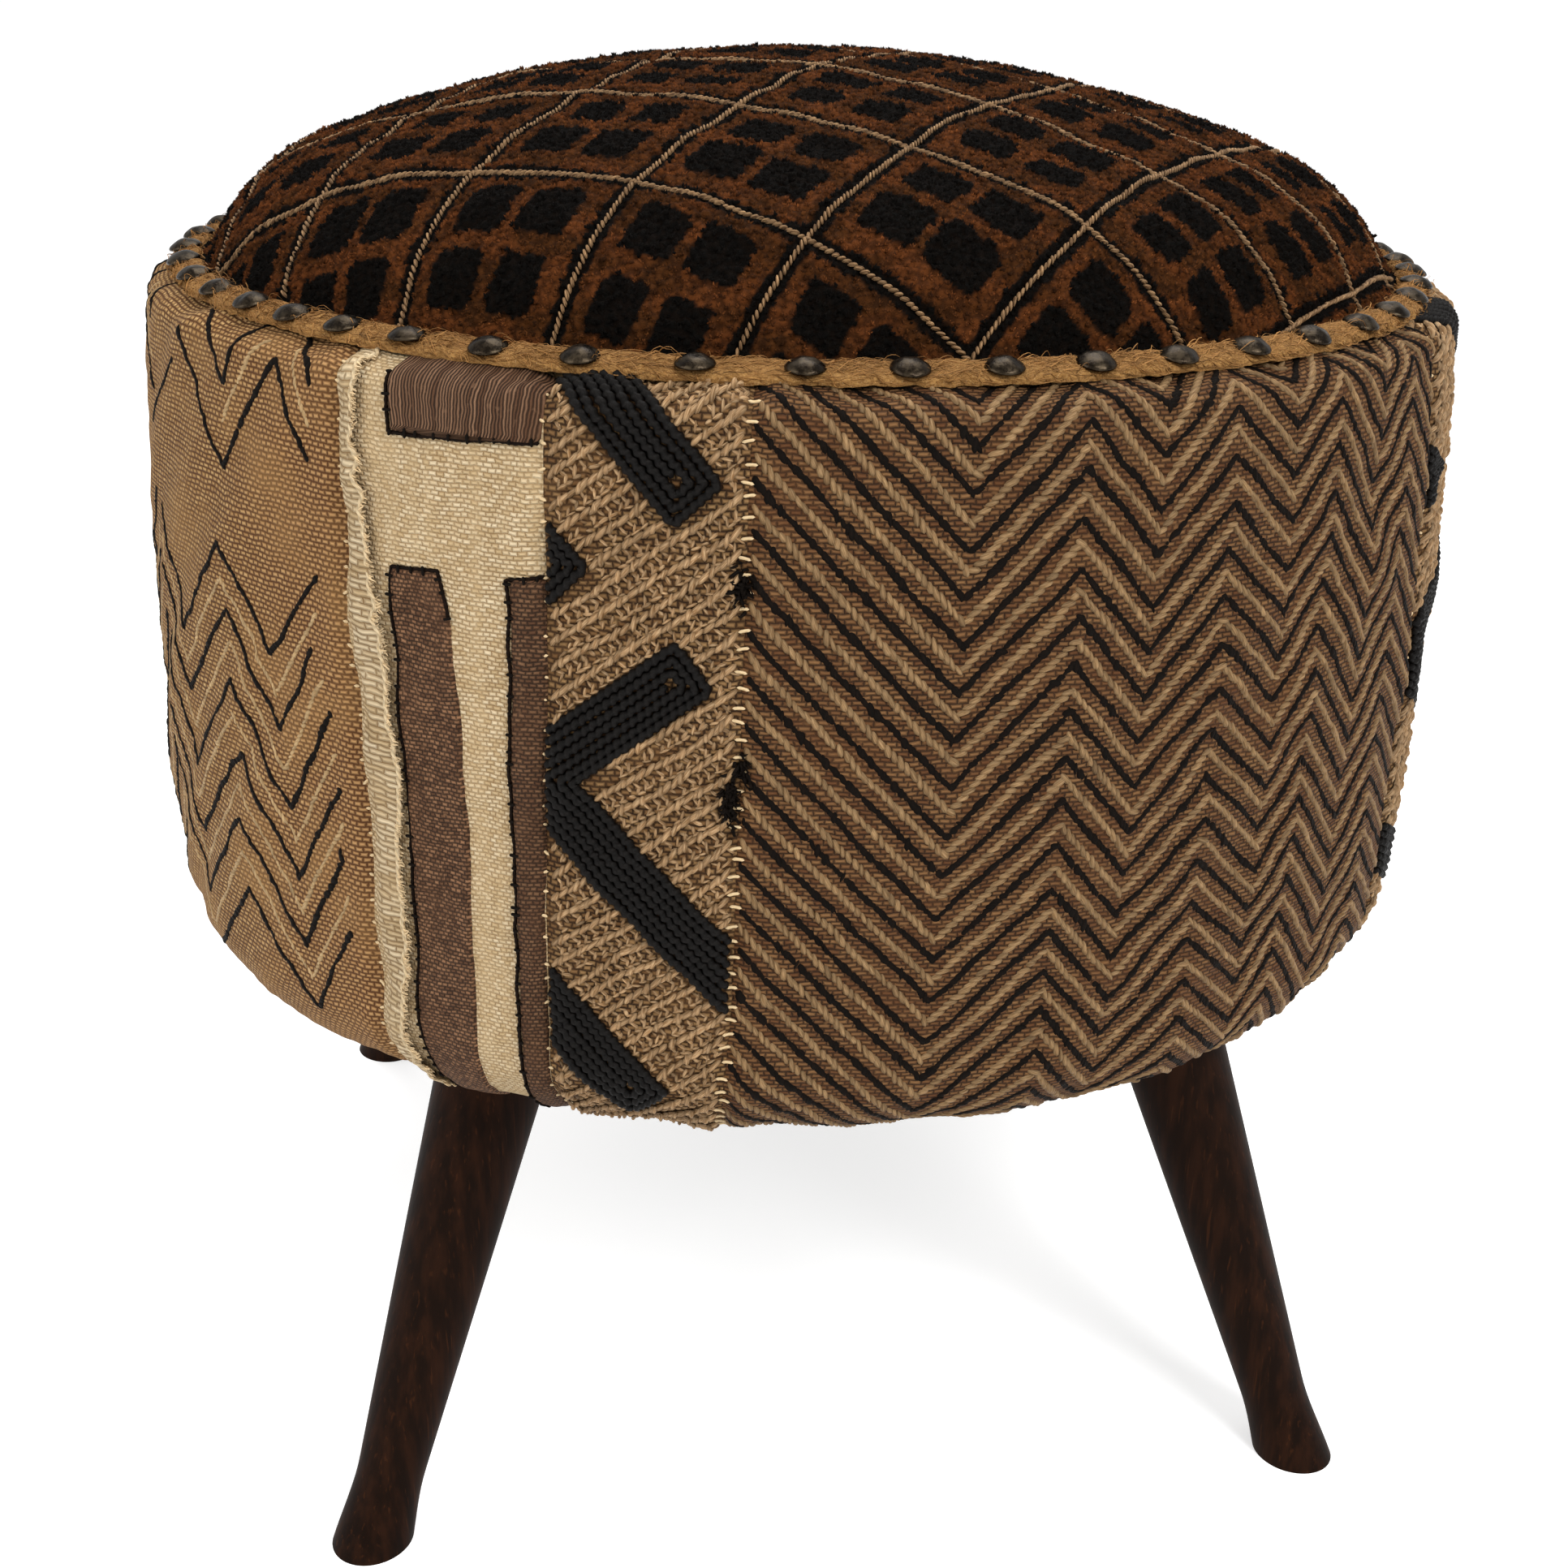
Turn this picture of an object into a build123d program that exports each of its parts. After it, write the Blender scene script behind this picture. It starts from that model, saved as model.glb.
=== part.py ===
from build123d import *
import math
import os

# A round footstool: a padded drum wrapped in panels of raffia cloth, a domed
# seat of cut-pile raffia, a nailed jute band and four turned, splayed legs.
# Millimetres. +Z is up, the origin is on the floor under the drum's centre,
# and the front of the stool faces -Y. Azimuths are degrees round +Z from +X.

# Drum, measured on the outside of the side cover. The radii of everything
# else follow from the radius at mid height
leg_height = 159.0
rim_height = 209.5
drum_middle_radius = 205.4
top_draw_in = 5.4
bottom_draw_in = 1.4
rim_width = 16.0
rim_slope = 20.0
shoulder_round = 6.0
bottom_round = 29.0
drum_top_radius = drum_middle_radius - top_draw_in
drum_bottom_radius = drum_middle_radius - bottom_draw_in
rim_inner_radius = drum_top_radius - rim_width

# Domed seat, measured on the outside of the pile cover
dome_set_in = 2.4
dome_rise = 58.6
dome_crown_radius = 425.0
dome_edge_width = 35.6
dome_base_radius = rim_inner_radius - dome_set_in
dome_crown_reach = dome_base_radius - dome_edge_width

# Cloth, foam and wadding
side_cover_thickness = 2.0
side_cover_hem_width = 19.0
pile_cover_thickness = 4.0
pile_hem_thickness = 1.5
pile_hem_width = 10.0
cloth_clearance = 0.4
wadding_thickness = 6.0

# Boards, posts and wall
top_padding_thickness = 8.0
top_board_thickness = 15.0
bottom_padding_thickness = 30.0
base_board_thickness = 18.0
wall_thickness = 3.0
top_board_radius = drum_top_radius - top_padding_thickness
wall_outer_radius = drum_bottom_radius - bottom_padding_thickness
base_board_radius = wall_outer_radius - wall_thickness
side_cover_hem_radius = base_board_radius - side_cover_hem_width
post_width = 30.0
post_count = 6
post_turn = 10.0

# Screws that hold the posts to the boards
post_screw_length = 45.0
post_screw_radius = 2.0
post_screw_head_radius = 4.2

# Legs and the steel plates that carry them
leg_azimuths = {
    "front_left": -125.3,
    "front_right": -35.3,
    "back_right": 54.7,
    "back_left": 144.7,
}
leg_set_in = 27.0
leg_reach = 68.0
leg_top_radius = 17.4
leg_ankle_radius = 10.4
leg_ankle_height = 24.0
leg_foot_radius = 12.0
leg_plate_radius = 28.0
leg_plate_thickness = 2.5
leg_boss_length = 9.5
leg_screw_circle_radius = 23.5
leg_screw_count = 4
leg_screw_length = 16.0
leg_screw_radius = 1.75
leg_screw_head_radius = 3.4
leg_screw_head_height = 1.6
leg_bolt_radius = 4.0
leg_bolt_in_leg = 28.0
leg_bolt_above_plate = 7.0
leg_bolt_clearance = 2.0
leg_top_circle_radius = base_board_radius - leg_set_in
leg_foot_circle_radius = leg_top_circle_radius + leg_reach

# Dust cover and staples
dust_cover_set_in = 5.0
dust_cover_thickness = 0.8
dust_cover_radius = base_board_radius - dust_cover_set_in
staple_width = 10.0
staple_wire = 1.0
staple_leg = 7.0
wall_staple_sink = 0.4
hem_staples_between_legs = 6
hem_staple_spread = 50.0
hem_staple_set_in = 6.0
wall_staple_count = 18
wall_staple_edge = 8.0
hem_staple_circle_radius = dust_cover_radius - hem_staple_set_in

# Jute band and its nails
band_width = 9.0
band_thickness = 2.2
band_centre_along = 4.2
band_edge_round = 0.9
nail_count = 49
nail_start_azimuth = -89.4
nail_nudge_shares = (
    0, 0.02, -0.03, -0.04, -0.05, -0.04, 0, 0.07, 0.08,
    0.18, 0.19, 0.15, 0, -0.14, -0.22, -0.24, -0.23, -0.07,
)
nail_head_radius = 5.0
nail_head_rise = 2.3
nail_shank_radius = 0.9
nail_shank_length = 14.0

# Side cover panels: azimuth of each panel's left seam, seen from outside
panel_seams = {
    "panel_tan_left": -205.0,
    "panel_cream_front": -124.8,
    "panel_knotted_front": -106.9,
    "panel_chevron_front": -92.9,
    "panel_knotted_right": -28.3,
    "panel_cream_back": 2.0,
    "panel_chevron_back": 26.0,
    "panel_knotted_back": 98.0,
    "panel_tan_back": 118.0,
}

# Cloth laid on the panels: patches sewn flat and bars of couched rope
patch_thickness = 1.0
selvedge_thickness = 1.8
rope_bar_thickness = 2.2
cream_panels = ("front", "back")
knotted_panels = ("front", "right", "back")

# Patches on a cream panel: left, right, top and bottom, as shares of the
# panel's width and of the height of the drum's side
cream_patch_shares = {
    "patch_top": (0.29, 0.985, 0.02, 0.095),
    "patch_long": (0.31, 0.59, 0.26, 0.96),
    "patch_edge": (0.85, 0.985, 0.25, 0.96),
}
selvedge_shares = (0.02, 0.14, 0.02, 0.96)

# Outlines of the rope bars on a knotted panel, across and down, in the
# same shares
rope_bar_shares = {
    "rope_bar_upper": (
        (0.04, 0.02), (0.41, 0.02), (0.83, 0.11), (0.76, 0.14), (0.58, 0.165), (0.50, 0.15),
    ),
    "rope_bar_nub": ((0.01, 0.165), (0.20, 0.215), (0.20, 0.24), (0.01, 0.285)),
    "rope_bar_elbow": (
        (0.01, 0.43), (0.56, 0.315), (0.80, 0.36), (0.77, 0.385), (0.18, 0.48),
        (0.98, 0.70), (0.98, 0.76), (0.91, 0.785), (0.01, 0.565),
    ),
    "rope_bar_lower": (
        (0.01, 0.735), (0.69, 0.90), (0.68, 0.93), (0.48, 0.965), (0.37, 0.95), (0.01, 0.84),
    ),
}

# How far the shapes that only cut others away run past them
cut_overrun = 20.0
cut_block_size = 900.0

# Worked out from the sizes above
drum_bottom_z = leg_height
rim_z = leg_height + rim_height
top_board_z = rim_z - side_cover_thickness
dome_base_z = rim_z + pile_hem_thickness
base_board_z = drum_bottom_z + side_cover_thickness
base_board_top_z = base_board_z + base_board_thickness
top_board_under_z = top_board_z - top_board_thickness
foam_inset = pile_cover_thickness + wadding_thickness
plate_top_z = drum_bottom_z - dust_cover_thickness
plate_under_z = plate_top_z - leg_plate_thickness
leg_splay = math.degrees(math.atan2(leg_reach, drum_bottom_z))


def lathe(face, arc=360.0):
    """Turn a face drawn as (radius, height) round the drum's axis."""
    return revolve(Plane.XZ * face, axis=Axis.Z, revolution_arc=arc)


def block(radius_in, radius_out, low, high):
    """A rectangle in the (radius, height) plane."""
    width = radius_out - radius_in
    height = high - low
    return Pos(radius_in + width / 2, low + height / 2) * Rectangle(width, height)


def drum_section(inset):
    """Half section of the drum, drawn in by inset from the side cover's outside."""
    slope = math.radians(rim_slope)
    rim_r = rim_inner_radius - inset * math.tan(slope / 2)
    top_z = rim_z - inset
    low_z = drum_bottom_z + inset
    top_r = drum_top_radius - inset
    shoulder_z = top_z - (top_r - rim_r) * math.tan(slope)
    middle_z = (shoulder_z + low_z) / 2
    middle_r = drum_middle_radius - inset
    low_r = drum_bottom_radius - inset
    edges = [
        Line((0, low_z), (0, top_z)),
        Line((0, top_z), (rim_r, top_z)),
        Line((rim_r, top_z), (top_r, shoulder_z)),
        ThreePointArc((top_r, shoulder_z), (middle_r, middle_z), (low_r, low_z)),
        Line((low_r, low_z), (0, low_z)),
    ]
    face = make_face(edges)
    corners = face.vertices()
    shoulder = corners.sort_by_distance((top_r, shoulder_z))[0]
    face = fillet(shoulder, shoulder_round - inset)
    corners = face.vertices()
    low_corner = corners.sort_by_distance((low_r, low_z))[0]
    return fillet(low_corner, bottom_round - inset)


def dome_section(inset):
    """Half section of the domed seat, drawn in by inset from the pile's outside."""
    radius = dome_base_radius - inset
    crown_radius = dome_crown_radius - inset
    crown_angle = math.asin(dome_crown_reach / dome_crown_radius)
    crown_centre_z = dome_base_z + dome_rise - dome_crown_radius
    crown_z = crown_centre_z + crown_radius

    def on_crown(angle):
        return crown_radius * math.sin(angle), crown_centre_z + crown_radius * math.cos(angle)

    turn = on_crown(crown_angle)
    edges = [
        Line((0, crown_z), (0, top_board_z)),
        Line((0, top_board_z), (radius, top_board_z)),
        Line((radius, top_board_z), (radius, dome_base_z)),
        TangentArc(turn, (radius, dome_base_z), tangent=(math.cos(crown_angle), -math.sin(crown_angle))),
        ThreePointArc(turn, on_crown(crown_angle / 2), (0, crown_z)),
    ]
    return make_face(edges)


def rim_plane(along, out):
    """A place on the rim's slope: how far down the slope and how far out of it."""
    slope = math.radians(rim_slope)
    r = rim_inner_radius + along * math.cos(slope) + out * math.sin(slope)
    z = rim_z - along * math.sin(slope) + out * math.cos(slope)
    return r, z


def in_span(azimuth, span):
    """Whether an azimuth lies between two others, with half a nail pitch to spare."""
    start, end = span
    spare = 180.0 / nail_count
    return (azimuth - start + spare) % 360.0 < end - start + 2 * spare


def nail_azimuths():
    pitch = 360.0 / nail_count
    half = nail_count // 2
    places = []
    for index in range(half - nail_count, half):
        nudge = nail_nudge_shares[index % len(nail_nudge_shares)]
        places.append(nail_start_azimuth + (index + nudge) * pitch)
    return places


def nail_location(azimuth, out):
    """The rim's slope at one nail, with +Z straight out of the band."""
    r, z = rim_plane(band_centre_along, out)
    return Rot(0, 0, azimuth) * Pos(r, 0, z) * Rot(0, rim_slope, 0)


def nail():
    """One nail, with its head's flat underside at the local origin."""
    ball_radius = (nail_head_radius**2 + nail_head_rise**2) / (2 * nail_head_rise)
    edge_angle = math.asin(nail_head_radius / ball_radius) / 2
    arc_r = ball_radius * math.sin(edge_angle)
    arc_z = nail_head_rise - ball_radius * (1 - math.cos(edge_angle))
    head = make_face([
        Line((0, 0), (nail_head_radius, 0)),
        ThreePointArc((nail_head_radius, 0), (arc_r, arc_z), (0, nail_head_rise)),
        Line((0, nail_head_rise), (0, 0)),
    ])
    shank = block(0, nail_shank_radius, -nail_shank_length, nail_head_rise / 2)
    return lathe(head + shank)


def nail_holes(span=(0.0, 360.0)):
    """The nails' holes in every layer that they go through, between two azimuths."""
    out = pile_hem_thickness + band_thickness
    length = nail_shank_length + nail_head_rise
    hole = Pos(0, 0, nail_head_rise - length / 2) * Cylinder(nail_shank_radius, length)
    return [nail_location(azimuth, out) * hole for azimuth in nail_azimuths() if in_span(azimuth, span)]


def band_nails():
    out = pile_hem_thickness + band_thickness
    one = nail()
    return [nail_location(azimuth, out) * one for azimuth in nail_azimuths()]


def staple():
    """One staple, its crown lying on the plane Z = 0 and its legs below."""
    crown = Pos(0, 0, staple_wire / 2) * Box(staple_width, staple_wire, staple_wire)
    body = crown
    for side in (-1, 1):
        x = side * (staple_width - staple_wire) / 2
        leg = Box(staple_wire, staple_wire, staple_leg + staple_wire)
        body = body + Pos(x, 0, (staple_wire - staple_leg) / 2) * leg
    return body


def hem_staple_azimuths():
    """Azimuths of the staples, in a row between each leg plate and the next."""
    step = hem_staple_spread / (hem_staples_between_legs - 1)
    quarter = 360.0 / len(leg_azimuths)
    places = []
    for azimuth in leg_azimuths.values():
        first = azimuth + (quarter - hem_staple_spread) / 2
        places += [first + index * step for index in range(hem_staples_between_legs)]
    return places


def hem_staples(span=(0.0, 360.0)):
    """Staples that hold the dust cover and the hems to the base board."""
    one = Pos(hem_staple_circle_radius, 0, plate_top_z) * Rot(0, 180, 90) * staple()
    return [Rot(0, 0, azimuth) * one for azimuth in hem_staple_azimuths() if in_span(azimuth, span)]


def wall_staples():
    """Staples through the wall into the edge of the base board."""
    one = staple()
    turn = 360.0 / wall_staple_count
    r = wall_outer_radius - wall_staple_sink
    place = Pos(r, 0, base_board_z + wall_staple_edge) * Rot(0, 90, 0) * Rot(0, 0, 90)
    return [Rot(0, 0, index * turn) * place * one for index in range(wall_staple_count)]


def countersunk_screw(length, shank_radius, head_radius):
    """A screw with its flat head at Z = 0, pointing down."""
    cone_height = head_radius - shank_radius
    profile = make_face(Polyline(
        (0, 0),
        (head_radius, 0),
        (shank_radius, -cone_height),
        (shank_radius, -length + shank_radius),
        (0, -length),
        (0, 0),
    ))
    return lathe(profile)


def post_centre_radius():
    half = post_width / 2
    return math.sqrt((base_board_radius - cloth_clearance)**2 - half**2) - half


def post_places():
    turn = 360.0 / post_count
    return [Rot(0, 0, post_turn + index * turn) * Pos(post_centre_radius(), 0, 0)
            for index in range(post_count)]


def post_screws():
    one = countersunk_screw(post_screw_length, post_screw_radius, post_screw_head_radius)
    screws = []
    for place in post_places():
        screws.append(place * Pos(0, 0, top_board_z) * one)
        screws.append(place * Pos(0, 0, base_board_z) * Rot(180, 0, 0) * one)
    return screws


def post():
    height = top_board_under_z - base_board_top_z
    return Pos(0, 0, base_board_top_z + height / 2) * Box(post_width, post_width, height)


def half_space(z, side):
    """Everything above a height, with side 1, or below it, with side -1."""
    return Pos(0, 0, z + side * cut_block_size / 2) * Box(cut_block_size, cut_block_size, cut_block_size)


def plate_place(azimuth):
    """The centre of a leg plate's underside."""
    r = leg_top_circle_radius + (drum_bottom_z - plate_under_z) * math.tan(math.radians(leg_splay))
    return Rot(0, 0, azimuth) * Pos(r, 0, plate_under_z)


def leg_place(azimuth):
    """A leg's axis, starting at the plate's underside and running down to the foot."""
    return plate_place(azimuth) * Rot(0, 180 - leg_splay, 0)


def leg_axis_length():
    return plate_under_z / math.cos(math.radians(leg_splay))


def leg(azimuth):
    """A turned leg: a long taper to the ankle and a small flare at the foot."""
    length = leg_axis_length()
    ankle = length - leg_ankle_height
    tail = length + leg_foot_radius
    flare = leg_foot_radius - leg_ankle_radius
    tail_radius = leg_foot_radius + flare * leg_foot_radius / leg_ankle_height
    slope = (leg_ankle_radius - leg_top_radius) / (ankle - leg_boss_length)
    profile = make_face([
        Line((0, leg_boss_length), (leg_top_radius, leg_boss_length)),
        Line((leg_top_radius, leg_boss_length), (leg_ankle_radius, ankle)),
        Spline(
            [(leg_ankle_radius, ankle), (leg_foot_radius, length), (tail_radius, tail)],
            tangents=[(slope, 1), (flare, leg_ankle_height)],
        ),
        Line((tail_radius, tail), (0, tail)),
        Line((0, tail), (0, leg_boss_length)),
    ])
    turned = leg_place(azimuth) * lathe(profile)
    return turned - half_space(0, -1) - leg_bolt(azimuth)


def leg_bolt(azimuth):
    """A double-ended bolt: screwed into the leg below and into the plate above."""
    low = leg_boss_length + leg_bolt_in_leg
    high = leg_plate_thickness + leg_bolt_above_plate
    rod = Cylinder(leg_bolt_radius, low + high)
    return leg_place(azimuth) * Pos(0, 0, (low - high) / 2) * rod


def leg_bolt_room(azimuth):
    """The room for a bolt's top end in the dust cover and the base board."""
    high = leg_plate_thickness + leg_bolt_above_plate
    room = Cylinder(leg_bolt_radius + leg_bolt_clearance, high * 2)
    return leg_place(azimuth) * Pos(0, 0, -high) * room


def leg_screw_places(azimuth):
    places = []
    for index in range(leg_screw_count):
        turn = (index + 0.5) * 360.0 / leg_screw_count
        screw = plate_place(azimuth) * Rot(0, 0, turn) * Pos(leg_screw_circle_radius, 0, 0)
        places.append(screw * Rot(180, 0, 0))
    return places


def leg_screw():
    """A round-headed screw, its head's flat face at Z = 0, pointing down."""
    head = block(0, leg_screw_head_radius, 0, leg_screw_head_height)
    head = fillet(head.vertices().sort_by_distance((leg_screw_head_radius, leg_screw_head_height))[0],
                  leg_screw_head_height / 2)
    shank = make_face(Polyline(
        (0, 0),
        (leg_screw_radius, 0),
        (leg_screw_radius, leg_screw_radius - leg_screw_length),
        (0, -leg_screw_length),
        (0, 0),
    ))
    return lathe(head + shank)


def leg_screws(span=(0.0, 360.0)):
    """The screws of every leg plate that lies between two azimuths."""
    one = leg_screw()
    reach = math.degrees(leg_plate_radius / leg_top_circle_radius)
    wide = (span[0] - reach, span[1] + reach)
    azimuths = [azimuth for azimuth in leg_azimuths.values() if in_span(azimuth, wide)]
    return [place * one for azimuth in azimuths for place in leg_screw_places(azimuth)]


def leg_plate(azimuth):
    """A round steel plate with a slanted boss that sets the leg's splay."""
    disc = Cylinder(leg_plate_radius, leg_plate_thickness)
    disc = plate_place(azimuth) * Pos(0, 0, leg_plate_thickness / 2) * disc
    boss_length = leg_boss_length + leg_top_radius
    boss = Cylinder(leg_top_radius, boss_length)
    boss = leg_place(azimuth) * Pos(0, 0, leg_boss_length - boss_length / 2) * boss
    plate = disc + (boss - half_space(plate_under_z, 1))
    return plate - leg_bolt(azimuth) - [place * leg_screw() for place in leg_screw_places(azimuth)]


def top_board():
    region = block(0, top_board_radius, top_board_under_z, rim_z)
    board = lathe(drum_section(side_cover_thickness) & region)
    return board - nail_holes() - post_screws()


def base_board():
    board = lathe(block(0, base_board_radius, base_board_z, base_board_top_z))
    rooms = [leg_bolt_room(azimuth) for azimuth in leg_azimuths.values()]
    return board - rooms - leg_screws() - post_screws() - hem_staples() - wall_staples()


def drum_wall():
    """Bent hardboard from the base board's underside to the top board."""
    wall = lathe(block(base_board_radius, wall_outer_radius, base_board_z, top_board_under_z))
    return wall - wall_staples()


def side_padding():
    """Foam round the wall, drawn down over the shoulder and under the low edge."""
    section = drum_section(side_cover_thickness)
    section = section - block(-cut_overrun, wall_outer_radius, drum_bottom_z, top_board_under_z)
    section = section - block(-cut_overrun, top_board_radius, top_board_under_z, rim_z)
    return lathe(section) - wall_staples()


def side_cover_section():
    section = drum_section(0) - drum_section(side_cover_thickness)
    waist_z = drum_bottom_z + rim_height / 2
    top_edge_radius = dome_base_radius + cloth_clearance
    section = section - block(-cut_overrun, top_edge_radius, waist_z, rim_z + cut_overrun)
    return section - block(-cut_overrun, side_cover_hem_radius, drum_bottom_z - cut_overrun, waist_z)


def panel_spans():
    """Each panel's name with the azimuths of its left and right seams."""
    names = list(panel_seams)
    spans = {}
    for index, name in enumerate(names):
        start = panel_seams[name]
        following = panel_seams[names[(index + 1) % len(names)]]
        end = following if following > start else following + 360.0
        spans[name] = (start, end)
    return spans


def side_panels():
    """The panels of the side cover, pierced where nails, screws and bolts pass."""
    section = side_cover_section()
    panels = {}
    for name, span in panel_spans().items():
        start, end = span
        piercings = nail_holes(span) + leg_screws(span) + hem_staples(span)
        panels[name] = Rot(0, 0, start) * lathe(section, end - start) - piercings
    return panels


def overlay_section(thickness, top_share, bottom_share):
    """A layer on the side cover between two shares of the side's height."""
    top = rim_z - top_share * rim_height
    bottom = rim_z - bottom_share * rim_height
    layer = drum_section(-thickness) - drum_section(0)
    return layer & block(base_board_radius, drum_middle_radius + cut_overrun, bottom, top)


def flat_patch(span, shares, thickness):
    start, end = span
    left, right, top, bottom = shares
    width = end - start
    section = overlay_section(thickness, top, bottom)
    return Rot(0, 0, start + left * width) * lathe(section, (right - left) * width)


def rope_bar(span, outline):
    """A raised bar cut to its outline, seen square on from outside."""
    start, end = span
    middle = (start + end) / 2
    points = []
    for across, down in outline:
        turn = math.radians(start + across * (end - start) - middle)
        points.append((drum_middle_radius * math.sin(turn), rim_z - down * rim_height))
    prism = extrude(Plane.YZ * make_face(Polyline(*points, points[0])), drum_middle_radius * 2)
    layer = lathe(overlay_section(rope_bar_thickness, 0.0, 1.0), end - start)
    bar = Rot(0, 0, middle) * prism & Rot(0, 0, start) * layer
    return bar


def overlays():
    """Every patch, folded selvedge and rope bar on the side panels."""
    spans = panel_spans()
    pieces = {}
    for side in cream_panels:
        span = spans[f"panel_cream_{side}"]
        for name, shares in cream_patch_shares.items():
            pieces[f"{name}_{side}"] = flat_patch(span, shares, patch_thickness)
        pieces[f"selvedge_fold_{side}"] = flat_patch(span, selvedge_shares, selvedge_thickness)
    for side in knotted_panels:
        span = spans[f"panel_knotted_{side}"]
        bars = [rope_bar(span, outline) for outline in rope_bar_shares.values()]
        pieces[f"rope_bars_{side}"] = bars
    return pieces


def dust_cover():
    sheet = lathe(block(0, dust_cover_radius, plate_top_z, drum_bottom_z))
    rooms = [leg_bolt_room(azimuth) for azimuth in leg_azimuths.values()]
    return sheet - rooms - leg_screws() - hem_staples()


def seat_foam():
    return lathe(dome_section(foam_inset))


def seat_wadding():
    return lathe(dome_section(pile_cover_thickness) - dome_section(foam_inset))


def pile_cover():
    """The domed cover, its hem laid out over the rim under the band."""
    shell = dome_section(0) - dome_section(pile_cover_thickness)
    hem_inner = dome_base_radius - pile_cover_thickness / 2
    hem_outer = dome_base_radius + pile_hem_width
    hem = drum_section(-pile_hem_thickness) - drum_section(0)
    hem = hem & block(hem_inner, hem_outer, drum_bottom_z + rim_height / 2, rim_z + cut_overrun)
    return lathe(shell + hem) - nail_holes()


def jute_band():
    out = pile_hem_thickness + band_thickness / 2
    r, z = rim_plane(band_centre_along, out)
    strip = RectangleRounded(band_width, band_thickness, band_edge_round)
    return lathe(Pos(r, z) * Rot(0, 0, -rim_slope) * strip) - nail_holes()


def build():
    pieces = {
        "base_board": base_board(),
        "top_board": top_board(),
        "drum_wall": drum_wall(),
        "post_screws": post_screws(),
        "wall_staples": wall_staples(),
        "side_padding": side_padding(),
        "seat_foam": seat_foam(),
        "seat_wadding": seat_wadding(),
        "pile_cover": pile_cover(),
        "jute_band": jute_band(),
        "band_nails": band_nails(),
        "dust_cover": dust_cover(),
        "hem_staples": hem_staples(),
        "leg_screws": leg_screws(),
        "leg_bolts": [leg_bolt(azimuth) for azimuth in leg_azimuths.values()],
    }
    screws = post_screws()
    for index, place in enumerate(post_places()):
        pieces[f"post_{index + 1}"] = place * post() - screws
    for side, azimuth in leg_azimuths.items():
        pieces[f"leg_{side}"] = leg(azimuth)
        pieces[f"leg_plate_{side}"] = leg_plate(azimuth)
    pieces.update(side_panels())
    pieces.update(overlays())
    return pieces


def main():
    os.makedirs("parts", exist_ok=True)
    for name, shape in build().items():
        if isinstance(shape, list):
            shape = Compound(children=[solid for part in shape for solid in part.solids()])
        export_step(shape, os.path.join("parts", f"{name}.step"))


main()
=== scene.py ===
import math

import bpy
import numpy as np
from mathutils import Matrix, Vector


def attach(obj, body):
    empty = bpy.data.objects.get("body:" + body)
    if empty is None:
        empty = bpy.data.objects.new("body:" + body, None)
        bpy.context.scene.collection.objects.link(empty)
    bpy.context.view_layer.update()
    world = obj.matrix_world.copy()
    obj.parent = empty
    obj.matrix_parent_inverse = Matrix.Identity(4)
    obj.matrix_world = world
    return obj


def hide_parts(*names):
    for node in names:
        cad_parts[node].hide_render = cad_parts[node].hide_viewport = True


# The looks of the round footstool. Lengths are in mm until a mesh is made, and
# azimuths are degrees round +Z from +X, with the stool's front at -90.
# A place on the drum's side is (azimuth, length down the cloth, height out of
# it), and the length is 0 just under the rim band. A place on the seat is
# (x, y, height) on its cover laid out flat, with the origin at the top.

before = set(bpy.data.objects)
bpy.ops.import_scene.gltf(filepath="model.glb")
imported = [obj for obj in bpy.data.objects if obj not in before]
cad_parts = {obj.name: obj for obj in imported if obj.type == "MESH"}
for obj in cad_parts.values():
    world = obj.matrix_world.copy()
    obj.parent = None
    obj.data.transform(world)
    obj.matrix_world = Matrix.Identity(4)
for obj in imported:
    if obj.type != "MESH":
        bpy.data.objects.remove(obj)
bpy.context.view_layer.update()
rng = np.random.default_rng(11)

MM = 0.001
SIDE_MM_PER_DEGREE = 3.58

# The drum's outline
RIM_Z = 368.5
RIM_INNER = 184.0
RIM_SLOPE = math.radians(20.0)
SIDE_TOP_R = 200.0
SIDE_MIDDLE_R = 205.4
SIDE_LOW_R = 204.0
SIDE_LOW_Z = 159.0
SHOULDER_ROUND = 6.0
LOW_ROUND = 29.0
HEM_R = 152.0
LENGTH_ZERO_Z = 366.3
UPPER_SIDE_Z = 340.0
OUTLINE_STEP = 0.25

# The seat's outline
DOME_R = 181.6
DOME_BASE_Z = 370.0
DOME_TOP_Z = 428.6
CROWN_R = 425.0
CROWN_REACH = 146.0
DOME_FOOT_R = 188.0
DOME_FOOT_DROP = 1.2
EDGE_SLACK = 0.05

# The nailed band
BAND_CENTRE = 4.2
BAND_HALF_WIDTH = 4.5
BAND_UNDER = 1.5
BAND_THICKNESS = 2.2
NAIL_COUNT = 49
NAIL_START = -89.4
NAIL_NUDGES = (
    0, 0.02, -0.03, -0.04, -0.05, -0.04, 0, 0.07, 0.08,
    0.18, 0.19, 0.15, 0, -0.14, -0.22, -0.24, -0.23, -0.07,
)

# Where the cloth hangs lower or higher at its hem: azimuth, spread and drop. Each drop
# grows between the first two lengths down, and fades between the last two
SAGS = ((-146.0, 20.0, 5.8), (-15.0, 40.0, -1.8), (-86.0, 16.0, -1.2))
SAG_LENGTHS = (110, 185, 209, 229)

LEG_AZIMUTHS = (-125.3, -35.3, 54.7, 144.7)


def ramp(x, low, high):
    t = np.clip((x - low) / (high - low), 0, 1)
    return t * t * (3 - 2 * t)


def unit(v):
    return v / np.maximum(np.linalg.norm(v, axis=-1, keepdims=True), 1e-9)


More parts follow.
